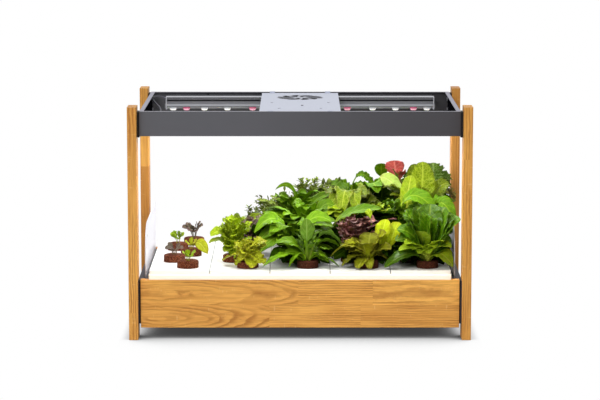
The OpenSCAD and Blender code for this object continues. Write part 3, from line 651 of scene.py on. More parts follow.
# Leaf forms. stalk: share of the length that is stalk. broad: over 1 puts the widest place nearer the tip.
# blunt: under 1 rounds the ends. lobes, cut, forward: lobes on a side, depth of the cuts between them, and
# how far they point forward. ruffle, waves: height and number of waves along the edge. cup: rise of the
# edges. wrinkle: height of the blisters. rib, stem: thickness and width of the stalk in millimetres.
BASIC = dict(stalk=0.25, broad=1.1, blunt=0.6, lobes=0, cut=0.0, forward=0.0, ruffle=0.08, waves=3,
             cup=0.15, wrinkle=0.01, rib=1.4, stem=2.2, steps=26, strips=11)
FORMS = {
    "seed_leaf": dict(stalk=0.35, broad=0.9, blunt=0.55, ruffle=0.03, rib=0.7, stem=1, steps=14, strips=7),
    "cut_seed_leaf": dict(lobes=3, cut=0.16, rib=0.6, stem=0.9, steps=24, strips=7),
    "round": dict(stalk=0.35, broad=1.15, blunt=0.5, cup=0.2),
    "frilly": dict(stalk=0.15, broad=1.5, blunt=0.5, lobes=5, cut=0.22, ruffle=0.3, waves=6, steps=40),
    "butter": dict(stalk=0.08, broad=1.4, blunt=0.5, ruffle=0.2, waves=5, cup=0.25, wrinkle=0.03, rib=2.5,
                   stem=5, steps=34, strips=13),
    "smooth": dict(stalk=0.1, broad=1.3, blunt=0.5, ruffle=0.09, cup=0.22, rib=2.5, stem=5, steps=30),
    "spinach": dict(stalk=0.38, broad=0.85, blunt=0.75, ruffle=0.07, cup=0.12, stem=2.6, rib=1.8, steps=30),
    "blade": dict(stalk=0.3, broad=0.85, blunt=0.8, ruffle=0.12, waves=2, cup=0.3),
    "mizuna": dict(stalk=0.3, broad=1.2, lobes=6, cut=0.75, forward=0.7, steps=36, strips=7),
    "oak_leaf": dict(stalk=0.1, broad=1.5, blunt=0.45, lobes=4, cut=0.3, ruffle=0.28, waves=5, cup=0.2,
                     steps=40),
    "romaine": dict(stalk=0.04, broad=1.35, blunt=0.42, ruffle=0.06, waves=4, cup=0.28, wrinkle=0.032,
                    rib=4, stem=11, steps=36, strips=15),
    "savoy": dict(stalk=0.1, broad=1.15, blunt=0.45, ruffle=0.09, waves=6, cup=0.2, wrinkle=0.035, rib=3,
                  stem=4, steps=44, strips=17),
    "kale": dict(stalk=0.3, blunt=0.5, lobes=5, cut=0.25, ruffle=0.4, waves=9, wrinkle=0.03, steps=70,
                 strips=13),
    "fan": dict(stalk=0.15, broad=3.2, blunt=0.45, lobes=9, cut=0.1, ruffle=0.1, waves=9, cup=0.0,
                wrinkle=0.03, steps=60, strips=13),
    "leaflet": dict(stalk=0.1, broad=1.0, blunt=0.8, ruffle=0.0, rib=0.3, stem=0.6, steps=7, strips=3),
}


def leaf(base, tip, rise, width, form, seed, roll=0.0):
    """Leaf as closed rings from its base to its tip, upper side first, and their UV.

    The midrib is an arc. Half the width at b, from 0 to 1 over the blade, is
    width / 2 * sin(pi * b^broad)^blunt, less the cuts, plus the stalk. At t, from -1 to 1 across, the blade
    rises by cup * t^2 of that, waves by ruffle * |t|^2.5 * sines along the edge, and is blistered by
    rough(). The lower side lies under it by the thickness, which grows to the rib in the middle.
    """
    f = {**BASIC, **FORMS[form]}
    rng = np.random.default_rng(seed)
    s = np.linspace(0, 1, f["steps"])[:, None]
    t = np.linspace(-1, 1, f["strips"])[None, :]
    base, tip = np.array(base, float), np.array(tip, float)
    rib = arc(base, tip, rise, f["steps"])
    along = units(np.gradient(rib, axis=0))
    reach = tip[:2] - base[:2]
    way = reach / max(np.hypot(*reach), 1e-6)
    side = np.broadcast_to((-way[1], way[0], 0.0), along.shape)
    up = np.cross(along, side)
    side, up = side * np.cos(roll) + up * np.sin(roll), up * np.cos(roll) - side * np.sin(roll)
    b = np.clip((s - f["stalk"]) / (1 - f["stalk"]), 0, 1)
    outline = np.clip(np.sin(np.pi * b ** f["broad"]), 0, 1) ** f["blunt"]
    gaps = 0
    if f["lobes"]:
        gaps = f["cut"] * (0.5 + 0.5 * np.cos(2 * np.pi * (f["lobes"] * b + 0.2 * np.sign(t))))
    half = width / 2 * outline * (1 - gaps) + f["stem"] / 2 * (1 - b ** 2)
    phase = rng.uniform(0, 2 * np.pi, 4)
    swing = np.sin(2 * np.pi * f["waves"] * b + phase[0] + phase[1] * np.sign(t))
    swing = swing + 0.5 * np.sin(4.6 * np.pi * f["waves"] * b + phase[2] + phase[3] * np.sign(t))
    wave = f["ruffle"] * width / 2 * np.abs(t) ** 2.5 * swing * outline
    height = f["cup"] * t ** 2 * half + wave
    across = t * half
    top = rib[:, None] + side[:, None] * across[..., None]
    height = height + f["wrinkle"] * width * rough(top, width / 5, seed) * outline
    swept = along[:, None] * (f["forward"] * np.abs(across))[..., None]
    top = top + up[:, None] * height[..., None] + swept
    thick = BLADE_THICK + f["rib"] * (1 - 0.85 * s) * np.exp(-(across / (0.5 * f["stem"])) ** 2)
    under = top - up[:, None] * thick[..., None]
    rings = np.concatenate([top, under[:, ::-1]], 1)
    v = np.broadcast_to((t + 1) / 2, top.shape[:2])
    u = np.broadcast_to(s, top.shape[:2])
    uv = np.stack([np.concatenate([u, u], 1), np.concatenate([v, v[:, ::-1]], 1)], -1)
    return rings, uv


def sprig(skin, base, tip, rise, size, pairs, seed):
    """Stem with pairs of small leaves that stand out sideways and forward from it."""
    path = arc(base, np.array(tip, float), rise, STEM_STEPS)
    rng = np.random.default_rng(seed)
    skin.add(*tube(path, np.linspace(0.8, 0.35, STEM_STEPS), 6), 0.6)
    ahead = units(np.gradient(path, axis=0))
    for i in range(pairs):
        place = 3 + (STEM_STEPS - 3.5) * i / (pairs - 1)
        before = int(place)
        after = min(before + 1, STEM_STEPS - 1)
        node = path[before] + (path[after] - path[before]) * (place % 1)
        forward = ahead[before]
        side = units(np.cross(forward, rng.normal(size=3)))
        for sign in (-1, 1):
            length = size * rng.uniform(0.7, 1.15) * (1 - 0.3 * i / pairs)
            end = node + (side * sign + forward * 0.8) * length * 0.75
            middle = (node[2] + end[2]) / 2 + 0.12 * length
            skin.add(*leaf(node, end, middle, length * 0.42, "leaflet", seed + i), rng.uniform(0.2, 1))


# ---- Plugs of peat ----

# Radius in millimetres, rings along the outline and sides round the axis
PLUG_R = 19.75
PLUG_RINGS = 54
PLUG_SIDES = 64


def crown(tray, k):
    """Middle of a plug's top in millimetres; k runs from -2 at the front to 2 at the rear."""
    low, high = [np.array(corner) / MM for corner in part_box(f"plugs_{tray}")]
    swing = (high[0] - low[0]) / 2 - PLUG_R
    pitch = (high[1] - low[1] - 2 * PLUG_R) / 4
    zigzag = swing if k % 2 == 0 else -swing
    return np.array([(low[0] + high[0]) / 2 + zigzag, k * pitch, high[2]])


def plug(middle, depth, seed):
    """Plug: the outline of a drum, from the middle of its foot over the side to the middle of its top,
    turned round its axis and made crumbly by rough(). The crumbs fade out from 10 to 14 mm under the top,
    inside the socket."""
    outline = np.array([
        (0.4, -depth), (PLUG_R - 1.2, -depth), (PLUG_R, 1.2 - depth), (PLUG_R, -3.0), (PLUG_R - 0.4, -1.4),
        (PLUG_R - 1.4, -0.4), (PLUG_R - 3, 0), (7, 0), (3.5, -0.8), (0.4, -1.2)])
    lengths = np.concatenate([[0], np.cumsum(np.linalg.norm(np.diff(outline, axis=0), axis=1))])
    stops = np.linspace(0, lengths[-1], PLUG_RINGS)
    r, z = np.interp(stops, lengths, outline[:, 0]), np.interp(stops, lengths, outline[:, 1])
    turn = -np.linspace(0, 2 * np.pi, PLUG_SIDES, endpoint=False)
    heights = np.repeat(z[:, None], PLUG_SIDES, 1)
    flat = np.stack([np.outer(r, np.cos(turn)), np.outer(r, np.sin(turn)), heights], -1)
    crumbs = 0.35 * rough(flat + middle, 5.0, seed) + 0.3 * rough(flat + middle, 2.2, seed + 50)
    crumbs = crumbs * np.clip((z + 14) / 4, 0, 1)[:, None]
    way = units(flat * (1, 1, 0) + (0, 0, 4))
    uv = np.stack(np.meshgrid(np.linspace(0, 1, PLUG_SIDES), np.linspace(0, 1, PLUG_RINGS)), -1)
    return flat + way * crumbs[..., None] + middle, uv


peat = soil("pressed_peat", 0.0)
# The plugs under the grown plants of trays 3 to 5 get painted shade
shaded_peat = soil("shaded_peat", 0.6)
for tray in range(1, 6):
    low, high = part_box(f"plugs_{tray}")
    skin = Skin()
    for k in range(-2, 3):
        skin.add(*plug(crown(tray, k), (high[2] - low[2]) / MM, 10 * tray + k + 2), 0.5)
    drum = skin.piece(f"peat_plugs_{tray}", peat if tray < 3 else shaded_peat)
    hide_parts(f"plugs_{tray}")
    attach(drum, f"tray_{tray}")


# ---- Plants ----

PLUM = (112, 76, 78)
GREENS = {
    "seedling": leaf_finish("seedling_green", (170, 190, 50), (136, 168, 14), (170, 190, 50), veins=4),
    "purple": leaf_finish("purple_seedling", (130, 140, 80), (116, 108, 84), PLUM, PLUM, 0.7, 0.6, 4),
    "spring": leaf_finish("spring_green", (170, 188, 50), (146, 172, 16), (180, 196, 60), veins=6),
    "lime": leaf_finish(
        "lime_green", (170, 182, 40), (168, 184, 6), (186, 198, 50), (156, 140, 20), 0.35, 0.3, 6),
    "yellow": leaf_finish(
        "yellow_green", (192, 176, 60), (170, 178, 24), (196, 200, 60), (150, 116, 40), 0.35, 0.3),
    "spinach": leaf_finish("spinach_green", (134, 166, 36), (104, 148, 4), (144, 178, 44), veins=7),
    "blue": leaf_finish("blue_green", (140, 160, 50), (108, 148, 44), (150, 180, 84), veins=6),
    # Near-black green for leaves that stand in for the shade inside the foliage: painted shade
    "dark": leaf_finish("shade_dark_green", (70, 96, 16), (50, 80, 4), (80, 108, 24), veins=6, shine=0.0),
    "feather": leaf_finish(
        "feather_green", (130, 144, 50), (118, 140, 40), (130, 140, 70), PLUM, 0.2, 0.5, 4),
    "butter": leaf_finish(
        "butter_green", (160, 184, 40), (98, 144, 0), (146, 176, 34), veins=8, blister=0.5),
    "veined": leaf_finish(
        "lime_veined", (160, 174, 40), (116, 144, 2), (168, 178, 56), (160, 150, 70), 0.4, 0.25, 9,
        net=0.3),
    "olive": leaf_finish(
        "olive_lettuce", (176, 186, 40), (142, 148, 18), (170, 174, 56), (100, 90, 20), 0.7, 0.5),
    "maroon": leaf_finish(
        "maroon_lettuce", (150, 130, 70), (150, 100, 84), (190, 150, 130), (120, 66, 70), 0.8, 0.6,
        gloss=0.36, shine=0.3),
    "romaine": leaf_finish(
        "romaine_green", (172, 188, 56), (84, 134, 0), (150, 180, 50), veins=8, gloss=0.3, blister=0.6,
        shine=0.2, net=0.15),
    "pale_romaine": leaf_finish(
        "pale_romaine_green", (190, 198, 76), (140, 170, 24), (176, 190, 60), veins=8, gloss=0.4,
        blister=0.4),
    "savoy": leaf_finish(
        "savoy_green", (170, 186, 46), (136, 164, 6), (190, 204, 56), (96, 108, 30), 0.4, 0.25, 11,
        blister=0.4, net=0.4),
    "cream_vein": leaf_finish(
        "yellow_veined_green", (170, 188, 46), (142, 168, 20), (184, 190, 60), (150, 160, 40), 0.4, 0.3, 9),
    "bronze": leaf_finish(
        "bronze_leaf", (150, 160, 60), (100, 124, 36), (140, 110, 70), (120, 76, 50), 0.5, 0.4, 9),
    "coral": leaf_finish(
        "coral_leaf", (190, 130, 96), (206, 92, 84), (220, 140, 124), (160, 60, 56), 0.6, 0.3, 8),
    "cream": leaf_finish(
        "cream_leaf", (196, 212, 110), (184, 210, 96), (200, 216, 124), (170, 190, 90), 0.5, 0.25),
    "kale": leaf_finish(
        "kale_green", (120, 142, 60), (92, 128, 40), (150, 170, 96), (84, 96, 50), 0.3, 0.4, net=0.3,
        shine=0.02),
    "herb": leaf_finish(
        "herb_green", (150, 150, 70), (146, 152, 50), (160, 120, 80), (150, 104, 66), 0.4, 0.5, 3),
}
# How far a tray's leaves may spread to the left and right in millimetres, into the next trays' leaves
SPREAD = {1: (-281, -165), 2: (-176, -44), 3: (-90, 80), 4: (40, 196), 5: (146, 281)}
# Half of their spread from front to back, and their heights, over the trays and under the lamp
HALF_DEPTH = 176
HEIGHTS = (124.2, 360)
# Height over which leaves may lean out over the guards, and how far
GUARD_TOP = 202
GUARD_ROOM = 22
# Steps from one leaf's tip to the next through a box, as shares of its sides
TIP_STEPS = np.array([0.618, 0.57, 0.755])


def eased_between(values, low, high, ease):
    """Values left alone, but slowed by tanh in the last stretch, ease long, before each limit."""
    over = np.maximum(values - (high - ease), 0)
    under = np.maximum((low + ease) - values, 0)
    return values - over + ease * np.tanh(over / ease) + under - ease * np.tanh(under / ease)


class Plant:
    """One plant on a plug: its leaves share a finish and a piece."""

    def __init__(self, name, tray, k, finish, slot):
        self.name, self.tray, self.finish, self.slot = name, tray, finish, slot
        self.crown = crown(tray, k)
        self.seed = 100 * tray + 10 * (k + 2) + 1
        self.skin = Skin()

    def leaf(self, form, tip, rise, width, roll=0.0, tone_and_shade=None, base=None):
        """Leaf to a tip in millimetres; rise is the height of its arc's control point over the crown. It
        starts on the crown, or on a stem's end that base gives. roll is in degrees."""
        self.seed += 1
        if base is None:
            base = self.crown + (0, 0, -1)
            base[:2] += 2.5 * units(np.array(tip[:2], float) - self.crown[:2])
        if tone_and_shade is None:
            tone_and_shade = np.random.default_rng(self.seed).uniform(0.3, 1.0)
        rings, uv = leaf(base, tip, self.crown[2] + rise, width, form, self.seed, math.radians(roll))
        self.skin.add(rings, uv, tone_and_shade)

    def leaves(self, form, *rows):
        """Leaves of one form. A row holds the tip's x, y and z and then what leaf() takes after the tip."""
        for x, y, z, *rest in rows:
            self.leaf(form, (x, y, z), *rest)

    def seed_leaves(self, form, stem_x, rise, roll, tone_and_shade, *rows):
        """Small leaves that roll away from their stem. A row holds the tip's x, y and z and the width."""
        for x, y, z, width in rows:
            self.leaf(form, (x, y, z), rise, width, roll * np.sign(x - stem_x), tone_and_shade)

    def fill(self, form, count, xs, ys, zs, width, arch=1.4, tones_and_shades=(0.0, 0.8)):
        """Leaves whose tips are spread evenly through a box by TIP_STEPS. arch is the height of an arc's
        control point against its tip's: over 1 the leaf bows and its tip droops."""
        rng = np.random.default_rng(self.seed + 7)
        for i in range(count):
            shares = TIP_STEPS * (i + 1) % 1
            tip = [low + (high - low) * share for (low, high), share in zip((xs, ys, zs), shares)]
            rise = max((tip[2] - self.crown[2]) * arch * rng.uniform(0.85, 1.15), 24)
            lean = rng.uniform(-8, 42) * np.sign(tip[0] - self.crown[0])
            self.leaf(form, tip, rise, width * rng.uniform(0.75, 1.2), lean, rng.uniform(*tones_and_shades))

    def sprigs(self, tips, size, pairs, rise=0.7):
        """Sprigs to the tips. rise is the height of an arc's control point against its tip's."""
        for tip in tips:
            self.seed += 20
            control_z = self.crown[2] + rise * (tip[2] - self.crown[2])
            sprig(self.skin, self.crown, tip, control_z, size, pairs, self.seed)

    def done(self):
        """Puts the leaves into a piece, eased back from the next trays, the guards and the tray's top."""
        low, high = SPREAD[self.tray]
        for points in self.skin.points:
            over_guard = GUARD_ROOM * np.clip((points[:, 2] - GUARD_TOP) / 10, 0, 1)
            left, right = low - over_guard * (self.tray == 1), high + over_guard * (self.tray == 5)
            points[:, 0] = eased_between(points[:, 0], left, right, 9)
            points[:, 1] = eased_between(points[:, 1], -HALF_DEPTH, HALF_DEPTH, 6)
            points[:, 2] = eased_between(points[:, 2], *HEIGHTS, 5)
        piece = self.skin.piece(self.name, GREENS[self.finish])
        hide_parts(f"plants_{self.tray}")
        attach(piece, f"tray_{self.tray}")


def seedling_tray():
    """Tray 1: five seedlings with their first leaves."""
    p = Plant("lettuce_seedling", 1, -2, "seedling", "seedling_leaf")
    p.seed_leaves("seed_leaf", -202, 16, 30, 0.95, (-214, -140, 151, 13), (-191, -140, 153, 14),
                  (-203, -154, 149, 11), (-206, -126, 155, 10), (-196, -150, 146, 10))
    p.done()
    p = Plant("purple_seedling_left", 1, -1, "purple", "seedling_leaf")
    p.seed_leaves("cut_seed_leaf", -232, 18, 30, None, (-250, -76, 148, 13), (-246, -60, 157, 11),
                  (-222, -64, 156, 12), (-216, -76, 149, 11), (-238, -86, 150, 12), (-228, -84, 146, 10))
    p.done()
    p = Plant("curly_seedling", 1, 0, "yellow", "seedling_leaf")
    p.seed_leaves("cut_seed_leaf", -204, 16, 30, 0.9, (-216, -10, 150, 12), (-194, -4, 153, 11),
                  (-205, 8, 156, 10), (-198, -16, 149, 11), (-210, -16, 146, 9))
    p.leaves("seed_leaf", (-173, -28, 130, 30, 21, 40, 0.9))
    p.done()
    p = Plant("cut_leaf_seedling", 1, 1, "seedling", "seedling_leaf")
    p.seed_leaves("cut_seed_leaf", -233, 20, 40, 0.7, (-246, 56, 150, 18), (-243, 62, 157, 17),
                  (-230, 64, 159, 18), (-223, 56, 151, 17), (-235, 46, 147, 15))
    p.done()
    p = Plant("purple_seedling_rear", 1, 2, "purple", "seedling_leaf")
    p.seed_leaves("cut_seed_leaf", -208, 26, 35, None, (-228, 118, 157, 15.6), (-222, 128, 163, 14.4),
                  (-210, 116, 163, 15.6), (-200, 126, 167, 14.4), (-188, 118, 161, 15.6),
                  (-192, 124, 168, 13.2), (-216, 110, 152, 14.4), (-198, 108, 152, 14.4))
    p.done()


def young_tray():
    """Tray 2: young plants."""
    p = Plant("young_frilly_lettuce", 2, -2, "yellow", "seedling_leaf")
    p.fill("frilly", 46, (-122, -58), (-158, -112), (128, 177), 17, 1.0, (0.5, 1.0))
    p.leaves("frilly",
        (-86, -161, 127, 14, 24, 0, 1.0), (-72, -156, 134, 24, 22, 0, 0.9), (-118, -150, 130, 16, 18))
    p.leaves("round", (-143, -110, 132, 20, 24, 0, 0.9))
    p.done()
    p = Plant("young_leaf_lettuce", 2, -1, "spring", "seedling_leaf")
    p.fill("frilly", 56, (-152, -88), (-104, -40), (130, 204), 18, 1.05, (0.5, 1.0))
    p.leaves("round",
        (-166, -76, 172, 64, 22, -30, 1.0), (-170, -72, 158, 42, 14, -20, 0.9),
        (-110, -74, 206, 66, 24, 0, 0.9), (-132, -70, 204, 64, 24, 0, 0.9),
        (-144, -76, 194, 62, 22, 0, 1.0))
    p.done()
    p = Plant("young_purple_leaf", 2, 0, "purple", "seedling_leaf")
    p.fill("frilly", 46, (-112, -62), (-40, 20), (146, 198), 14, 1.1, (0.3, 1.0))
    p.done()
    p = Plant("young_round_leaf", 2, 1, "spring", "seedling_leaf")
    p.fill("round", 40, (-150, -60), (20, 84), (130, 192), 20, 1.1, (0.0, 0.7))
    p.done()
    p = Plant("young_mizuna", 2, 2, "feather", "mixed_leaf")
    rng = np.random.default_rng(22)
    tips = [(x, 122 + rng.uniform(-20, 20), rng.uniform(150, 196)) for x in np.linspace(-104, -54, 22)]
    p.sprigs(tips, 14, 9)
    p.done()


def spinach_tray():
    """Tray 3: spinach at the front, feathery greens behind."""
    p = Plant("spinach_front", 3, -2, "blue", "spinach_leaf")
    p.leaves("spinach",
        (12, -126, 213, 52, 32, 8, 0.9), (78, -128, 163, 84, 28, -20, 0.5),
        (-12, -118, 186, 46, 24, 20, 0.3), (40, -118, 190, 52, 30, -20, 0.35))
    p.fill("spinach", 6, (-30, 50), (-130, -110), (140, 176), 22, 1.2, (0.0, 0.3))
    p.done()
    p = Plant("spinach_low", 3, -2, "spinach", "spinach_leaf")
    p.leaves("spinach", (-68, -152, 128, 32, 38, 0, 1.0), (-26, -136, 166, 36, 20, -10, 1.0))
    p.leaves("blade", (-21, -156, 127, 34, 13, 0, 1.0))
    p.leaves("spinach",
        (72, -118, 160, 56, 24, -20, 0.4), (50, -150, 138, 30, 20, -10, 0.9),
        (72, -156, 128, 24, 18, -10, 0.2), (10, -128, 176, 40, 18, 0, 0.9),
        (-46, -120, 166, 50, 26, -20, 0.5))
    p.fill("spinach", 8, (-56, 60), (-140, -110), (130, 170), 24, 1.4, (0.0, 0.6))
    p.done()
    p = Plant("spinach_middle", 3, -1, "spinach", "spinach_leaf")
    p.leaves("spinach",
        (-85, -76, 178, 112, 32, -30, 0.85), (-56, -92, 174, 92, 26, -35, 1.0),
        (-74, -100, 145, 64, 34, -25, 0.5), (-80, -80, 158, 84, 30, -25, 0.4),
        (-36, -96, 186, 80, 30, -10, 0.4), (62, -84, 190, 90, 34, 25, 0.5), (66, -80, 172, 76, 30, 25, 0.3))
    p.fill("spinach", 30, (-74, 70), (-108, -56), (146, 206), 25, 1.35, (0.2, 1.0))
    p.done()
    p = Plant("spinach_shade", 3, -1, "dark", "spinach_leaf")
    p.fill("spinach", 14, (-60, 62), (-146, -90), (125, 140), 26, 2.0, (0.0, 0.5))
    p.fill("round", 34, (-76, 80), (-100, 90), (128, 204), 38, 1.2, (0.0, 0.3))
    for x, z in ((54, 184), (72, 180), (-72, 190), (64, 160)):
        p.leaf("round", (x, -66, z), z - 146, 46, tone_and_shade=0.1, base=(x, -44, z - 50))
    p.done()
    p = Plant("spinach_rear", 3, 0, "spinach", "spinach_leaf")
    p.leaves("spinach",
        (-32, -34, 204, 86, 32, -10, 0.95), (-6, -24, 219, 92, 36, 0, 0.9), (20, -20, 221, 96, 28, 10, 1.0),
        (-14, -50, 198, 84, 32, 0, 0.6), (36, -32, 212, 92, 36, 0, 0.7), (52, -34, 198, 84, 34, 15, 0.6),
        (66, -24, 208, 92, 32, 15, 0.9), (-58, -20, 190, 80, 34, -15, 0.6))
    p.fill("spinach", 34, (-72, 76), (-40, 16), (172, 224), 24, 1.2, (0.3, 1.0))
    p.done()
    p = Plant("long_leaf_greens", 3, 1, "spinach", "mixed_leaf")
    p.leaves("blade", (-47, 40, 242, 140, 8, -62, 0.55, (4, 52, 186)))
    p.leaves("spinach", (12, 30, 236, 108, 24, 0, 0.9), (-24, 36, 226, 100, 24, 0, 0.8))
    p.leaves("blade", (38, 40, 238, 110, 20, 0, 0.8))
    p.fill("blade", 36, (-52, 74), (20, 70), (190, 238), 18, 1.1, (0.1, 0.8))
    p.done()
    p = Plant("feather_greens", 3, 2, "feather", "mixed_leaf")
    rng = np.random.default_rng(32)
    for xs, count, y, heights, size, pairs in (((-6, 78), 26, 124, (226, 247), 17, 10),
                                               ((-30, 78), 24, 116, (196, 230), 16, 10),
                                               ((-84, -12), 36, 118, (178, 216), 18, 9)):
        tips = [(x, y + rng.uniform(-26, 22), rng.uniform(*heights)) for x in np.linspace(*xs, count)]
        p.sprigs(tips, size, pairs)
    p.done()
    p = Plant("mizuna", 3, 2, "feather", "mixed_leaf")
    p.fill("mizuna", 40, (-86, -14), (92, 140), (176, 220), 20, 1.0, (0.1, 0.9))
    p.fill("mizuna", 24, (-10, 80), (92, 140), (206, 246), 18, 1.0, (0.1, 0.9))
    p.done()


def lettuce_tray():
    """Tray 4: olive and maroon lettuce in front, butter lettuce and mixed leaves behind."""
    p = Plant("olive_lettuce", 4, -2, "olive", "lettuce_leaf")
    p.leaves("smooth",
        (84, -144, 166, 34, 46, -12, 0.9), (112, -142, 168, 36, 40, 0, 0.8),
        (158, -138, 188, 38, 50, 14, 0.7), (166, -150, 160, 30, 34, 14, 0.9),
        (104, -162, 125, 14, 22, 0, 1.0), (127, -164, 124, 14, 16, 0, 1.0))
    p.leaves("blade", (56, -136, 144, 56, 18, 0, 1.0))
    p.leaves("butter", (76, -150, 128, 26, 20, 0, 0.3))
    p.leaves("smooth", (130, -112, 184, 44, 34, 0, 0.5))
    p.fill("smooth", 10, (64, 170), (-140, -104), (130, 172), 32, 1.3, (0.1, 0.8))
    p.done()
    p = Plant("lime_leaves", 4, -1, "lime", "lettuce_leaf")
    p.leaves("smooth",
        (158, -104, 208, 52, 28, -4, 1.0, (148, -124, 158)),
        (182, -100, 202, 48, 27, 14, 0.9, (164, -122, 156)),
        (176, -104, 186, 40, 22, 14, 0.6, (158, -122, 152)))
    p.done()
    p = Plant("maroon_lettuce", 4, -1, "maroon", "lettuce_leaf")
    p.fill("oak_leaf", 56, (68, 144), (-124, -84), (152, 210), 20, 1.05, (0.1, 1.0))
    p.leaves("oak_leaf", (178, -100, 208, 66, 14, 0, 0.9))
    p.done()
    p = Plant("lime_lettuce", 4, 0, "spring", "lettuce_leaf")
    p.leaves("round", (121, -92, 222, 86, 15, -20, 1.0, (132, -98, 196)))
    p.leaves("butter",
        (166, -40, 215, 84, 38, 10, 0.9), (154, -44, 222, 96, 26, 0, 0.8), (60, -24, 200, 96, 34, -20, 0.9),
        (52, -34, 206, 100, 30, -15, 0.8))
    p.fill("butter", 26, (46, 190), (-56, 10), (170, 226), 30, 1.25, (0.0, 0.7))
    p.done()
    # Near-black leaves under the arching leaves and between the heads stand in for their shade: painted
    # shade
    p = Plant("arch_shade_leaves", 4, 0, "dark", "lettuce_leaf")
    for x, z in ((150, 190), (176, 190), (172, 208), (164, 168), (184, 160), (96, 196), (128, 206),
                 (60, 176)):
        p.leaf("round", (x, -74, z), z - 146, 48, tone_and_shade=0.05, base=(x, -52, z - 50))
    for x, z in ((156, 248), (178, 250), (164, 226), (186, 236)):
        p.leaf("round", (x, 46, z), z - 148, 44, tone_and_shade=0.3, base=(x, 66, z - 48))
    p.fill("round", 44, (42, 196), (-100, 90), (128, 220), 40, 1.2, (0.0, 0.3))
    p.fill("butter", 14, (58, 176), (-150, -96), (125, 140), 26, 2.0, (0.0, 0.4))
    p.done()
    p = Plant("butter_lettuce", 4, 1, "veined", "lettuce_leaf")
    p.leaves("butter",
        (77, -26, 204, 174, 29, -10, 0.95), (105, -22, 206, 168, 27, 6, 0.8),
        (56, 0, 212, 140, 26, -20, 0.7))
    p.leaves("savoy", (92, 20, 238, 126, 30, 0, 0.3), (122, 20, 230, 112, 30, 0, 0.4))
    p.fill("butter", 28, (44, 186), (0, 70), (196, 246), 30, 1.2, (0.0, 0.7))
    p.done()
    p = Plant("tall_mixed_leaf", 4, 2, "butter", "mixed_leaf")
    p.leaves("smooth", (150, -84, 224, 88, 28, 24, 0.3, (60, -54, 188)))
    p.leaves("butter", (148, 40, 236, 156, 34, 10, 1.0), (118, 60, 240, 136, 26, 0, 0.7))
    p.leaves("kale", (153, 108, 218, 170, 13, 62, 0.5, (96, 112, 222)))
    p.leaves("round", (156, 100, 285, 130, 25, 0, 0.35, (157, 112, 242)))
    p.fill("butter", 26, (54, 190), (80, 140), (206, 252), 32, 1.1, (0.0, 0.5))
    p.done()


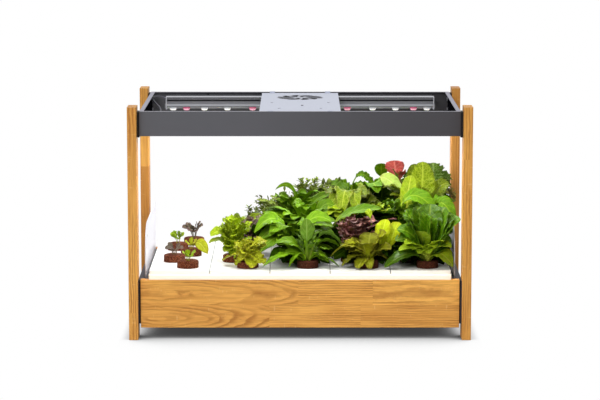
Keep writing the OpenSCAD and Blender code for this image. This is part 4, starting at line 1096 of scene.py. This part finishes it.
def tall_tray():
    """Tray 5: a romaine head in front of tall savoy, coral and kale leaves."""
    p = Plant("romaine_head", 5, -2, "romaine", "romaine_leaf")
    p.leaves("romaine",
        (192, -122, 228, 62, 44, -16, 0.75), (214, -104, 232, 66, 44, 0, 0.3),
        (240, -100, 236, 70, 46, 0, 0.3), (266, -104, 230, 66, 46, 10, 0.6),
        (294, -124, 212, 60, 44, 22, 0.9), (284, -128, 192, 52, 40, 22, 0.6),
        (280, -120, 214, 60, 40, 22, 0.7), (174, -126, 172, 52, 28, -28, 0.7),
        (178, -120, 192, 56, 32, -28, 0.8), (154, -158, 127, 34, 24, -20, 0.2),
        (278, -134, 168, 46, 34, 25, 0.9))
    p.fill("romaine", 22, (184, 282), (-134, -96), (156, 228), 30, 1.1, (0.3, 1.0))
    p.done()
    p = Plant("romaine_foot", 5, -2, "pale_romaine", "romaine_leaf")
    p.leaves("round", (217, -152, 193, 44, 32, 0, 0.45))
    for x, z, width in ((180, 158, 18), (190, 170, 22), (204, 160, 20), (216, 152, 16), (246, 164, 20),
                        (262, 176, 22), (276, 164, 20), (234, 152, 16)):
        p.leaf("romaine", (x, -154, z), 36 + (z - 150) / 3, width, roll=(x - 230) / 3, tone_and_shade=1.0)
    p.leaves("romaine", (281, -154, 127, 36, 30, 22, 0.7))
    p.done()
    p = Plant("broad_bright_leaf", 5, -1, "butter", "lettuce_leaf")
    p.leaves("smooth",
        (250, -94, 222, 138, 29, 40, 0.7, (186, -66, 224)),
        (284, -98, 205, 126, 27, 44, 0.8, (246, -70, 212)))
    p.leaves("butter",
        (276, -64, 236, 112, 34, 14, 0.8), (284, -80, 216, 96, 36, 20, 0.8),
        (272, -88, 206, 90, 26, 10, 1.0), (164, -64, 214, 90, 34, -15, 0.8))
    p.fill("butter", 24, (156, 290), (-90, -46), (186, 240), 30, 1.2, (0.0, 0.7))
    p.done()
    p = Plant("yellow_veined_leaf", 5, -1, "cream_vein", "lettuce_leaf")
    p.leaves("savoy", (208, -28, 279, 118, 27, 10, 0.9, (196, -56, 190)))
    p.done()
    p = Plant("savoy_leaves", 5, 0, "savoy", "romaine_leaf")
    p.leaves("savoy",
        (231, 8, 300, 112, 46, 6, 0.85, (228, -26, 160)), (263, -26, 258, 108, 28, 14, 0.9),
        (172, 20, 246, 110, 40, -15, 0.2), (216, 24, 294, 118, 38, 0, 0.2, (220, 0, 170)))
    p.fill("savoy", 24, (152, 286), (-24, 30), (206, 262), 32, 1.1, (0.0, 0.7))
    p.done()
    p = Plant("coral_leaves", 5, 1, "coral", "mixed_leaf")
    p.leaves("fan", (180, 88, 292, 132, 42, 0, 0.9, (186, 74, 222)))
    p.leaves("kale", (196, 60, 274, 140, 16, 0, 0.7, (190, 84, 240)))
    p.done()
    p = Plant("bronze_leaves", 5, 1, "bronze", "mixed_leaf")
    p.leaves("butter", (176, 60, 280, 120, 18, 0, 0.5))
    p.fill("savoy", 20, (152, 276), (36, 84), (216, 264), 32, 1.1, (0.0, 0.6))
    p.done()
    p = Plant("tall_shade", 5, 0, "dark", "romaine_leaf")
    p.fill("round", 44, (146, 288), (-100, 90), (128, 240), 40, 1.2, (0.0, 0.3))
    p.fill("round", 12, (162, 270), (-150, -96), (125, 140), 26, 2.0, (0.0, 0.4))
    p.done()
    p = Plant("cream_leaf", 5, 1, "cream", "mixed_leaf")
    p.leaves("smooth", (191, 8, 243, 136, 24, 52, 1.0, (151, 36, 267)))
    p.done()
    p = Plant("curly_kale", 5, 2, "kale", "mixed_leaf")
    p.leaves("kale",
        (256, 116, 284, 124, 48, 0, 0.9, (258, 96, 200)), (273, 112, 268, 118, 44, 0, 0.8, (268, 92, 190)),
        (274, 112, 252, 108, 40, 0, 0.5), (204, 100, 268, 116, 34, 0, 0.4))
    p.fill("kale", 20, (160, 288), (90, 140), (210, 264), 34, 1.1, (0.0, 0.6))
    p.done()
    p = Plant("fine_herb", 5, 2, "herb", "mixed_leaf")
    rng = np.random.default_rng(52)
    tips = [(274 + 32 * a, 104 + rng.uniform(-16, 14), 244 - 50 * a ** 2 + rng.uniform(-8, 8))
            for a in np.linspace(0, 1, 30)]
    p.sprigs(tips, 14, 11, rise=1.0)
    p.done()


seedling_tray()
young_tray()
spinach_tray()
lettuce_tray()
tall_tray()


# ---- Lead in the lamp ----

# Its radius and the points of its middle line, in millimetres
LEAD_R = 1.5
LEAD = np.array([
    (-258.5, 142, 405.5), (-265, 144, 408), (-276, 138, 410), (-284, 120, 409), (-277, 84, 405),
    (-264, 30, 400), (-260, -20, 397), (-262.5, -100, 399), (-265.5, -134, 400.5), (-258.5, -142, 401.5)])


def smooth_path(points, steps):
    """Catmull-Rom curve through the points, with some steps between each two."""
    held = np.concatenate([points[:1], points, points[-1:]])
    a, b, c, d = [held[i:len(held) - 3 + i, None] for i in range(4)]
    t = np.linspace(0, 1, steps, endpoint=False)[None, :, None]
    curve = 2 * b + (c - a) * t + (2 * a - 5 * b + 4 * c - d) * t ** 2 + (3 * b - a - 3 * c + d) * t ** 3
    return np.concatenate([0.5 * curve.reshape(-1, 3), points[-1:]])


skin = Skin()
skin.add(*tube(smooth_path(LEAD, 8), LEAD_R, 12), 0.5)
lead = skin.piece("lamp_wire", coated("lead_sheath", (92, 92, 100), 0.6, Specular_IOR_Level=0.1))
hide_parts("lamp_lead")
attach(lead, "root")
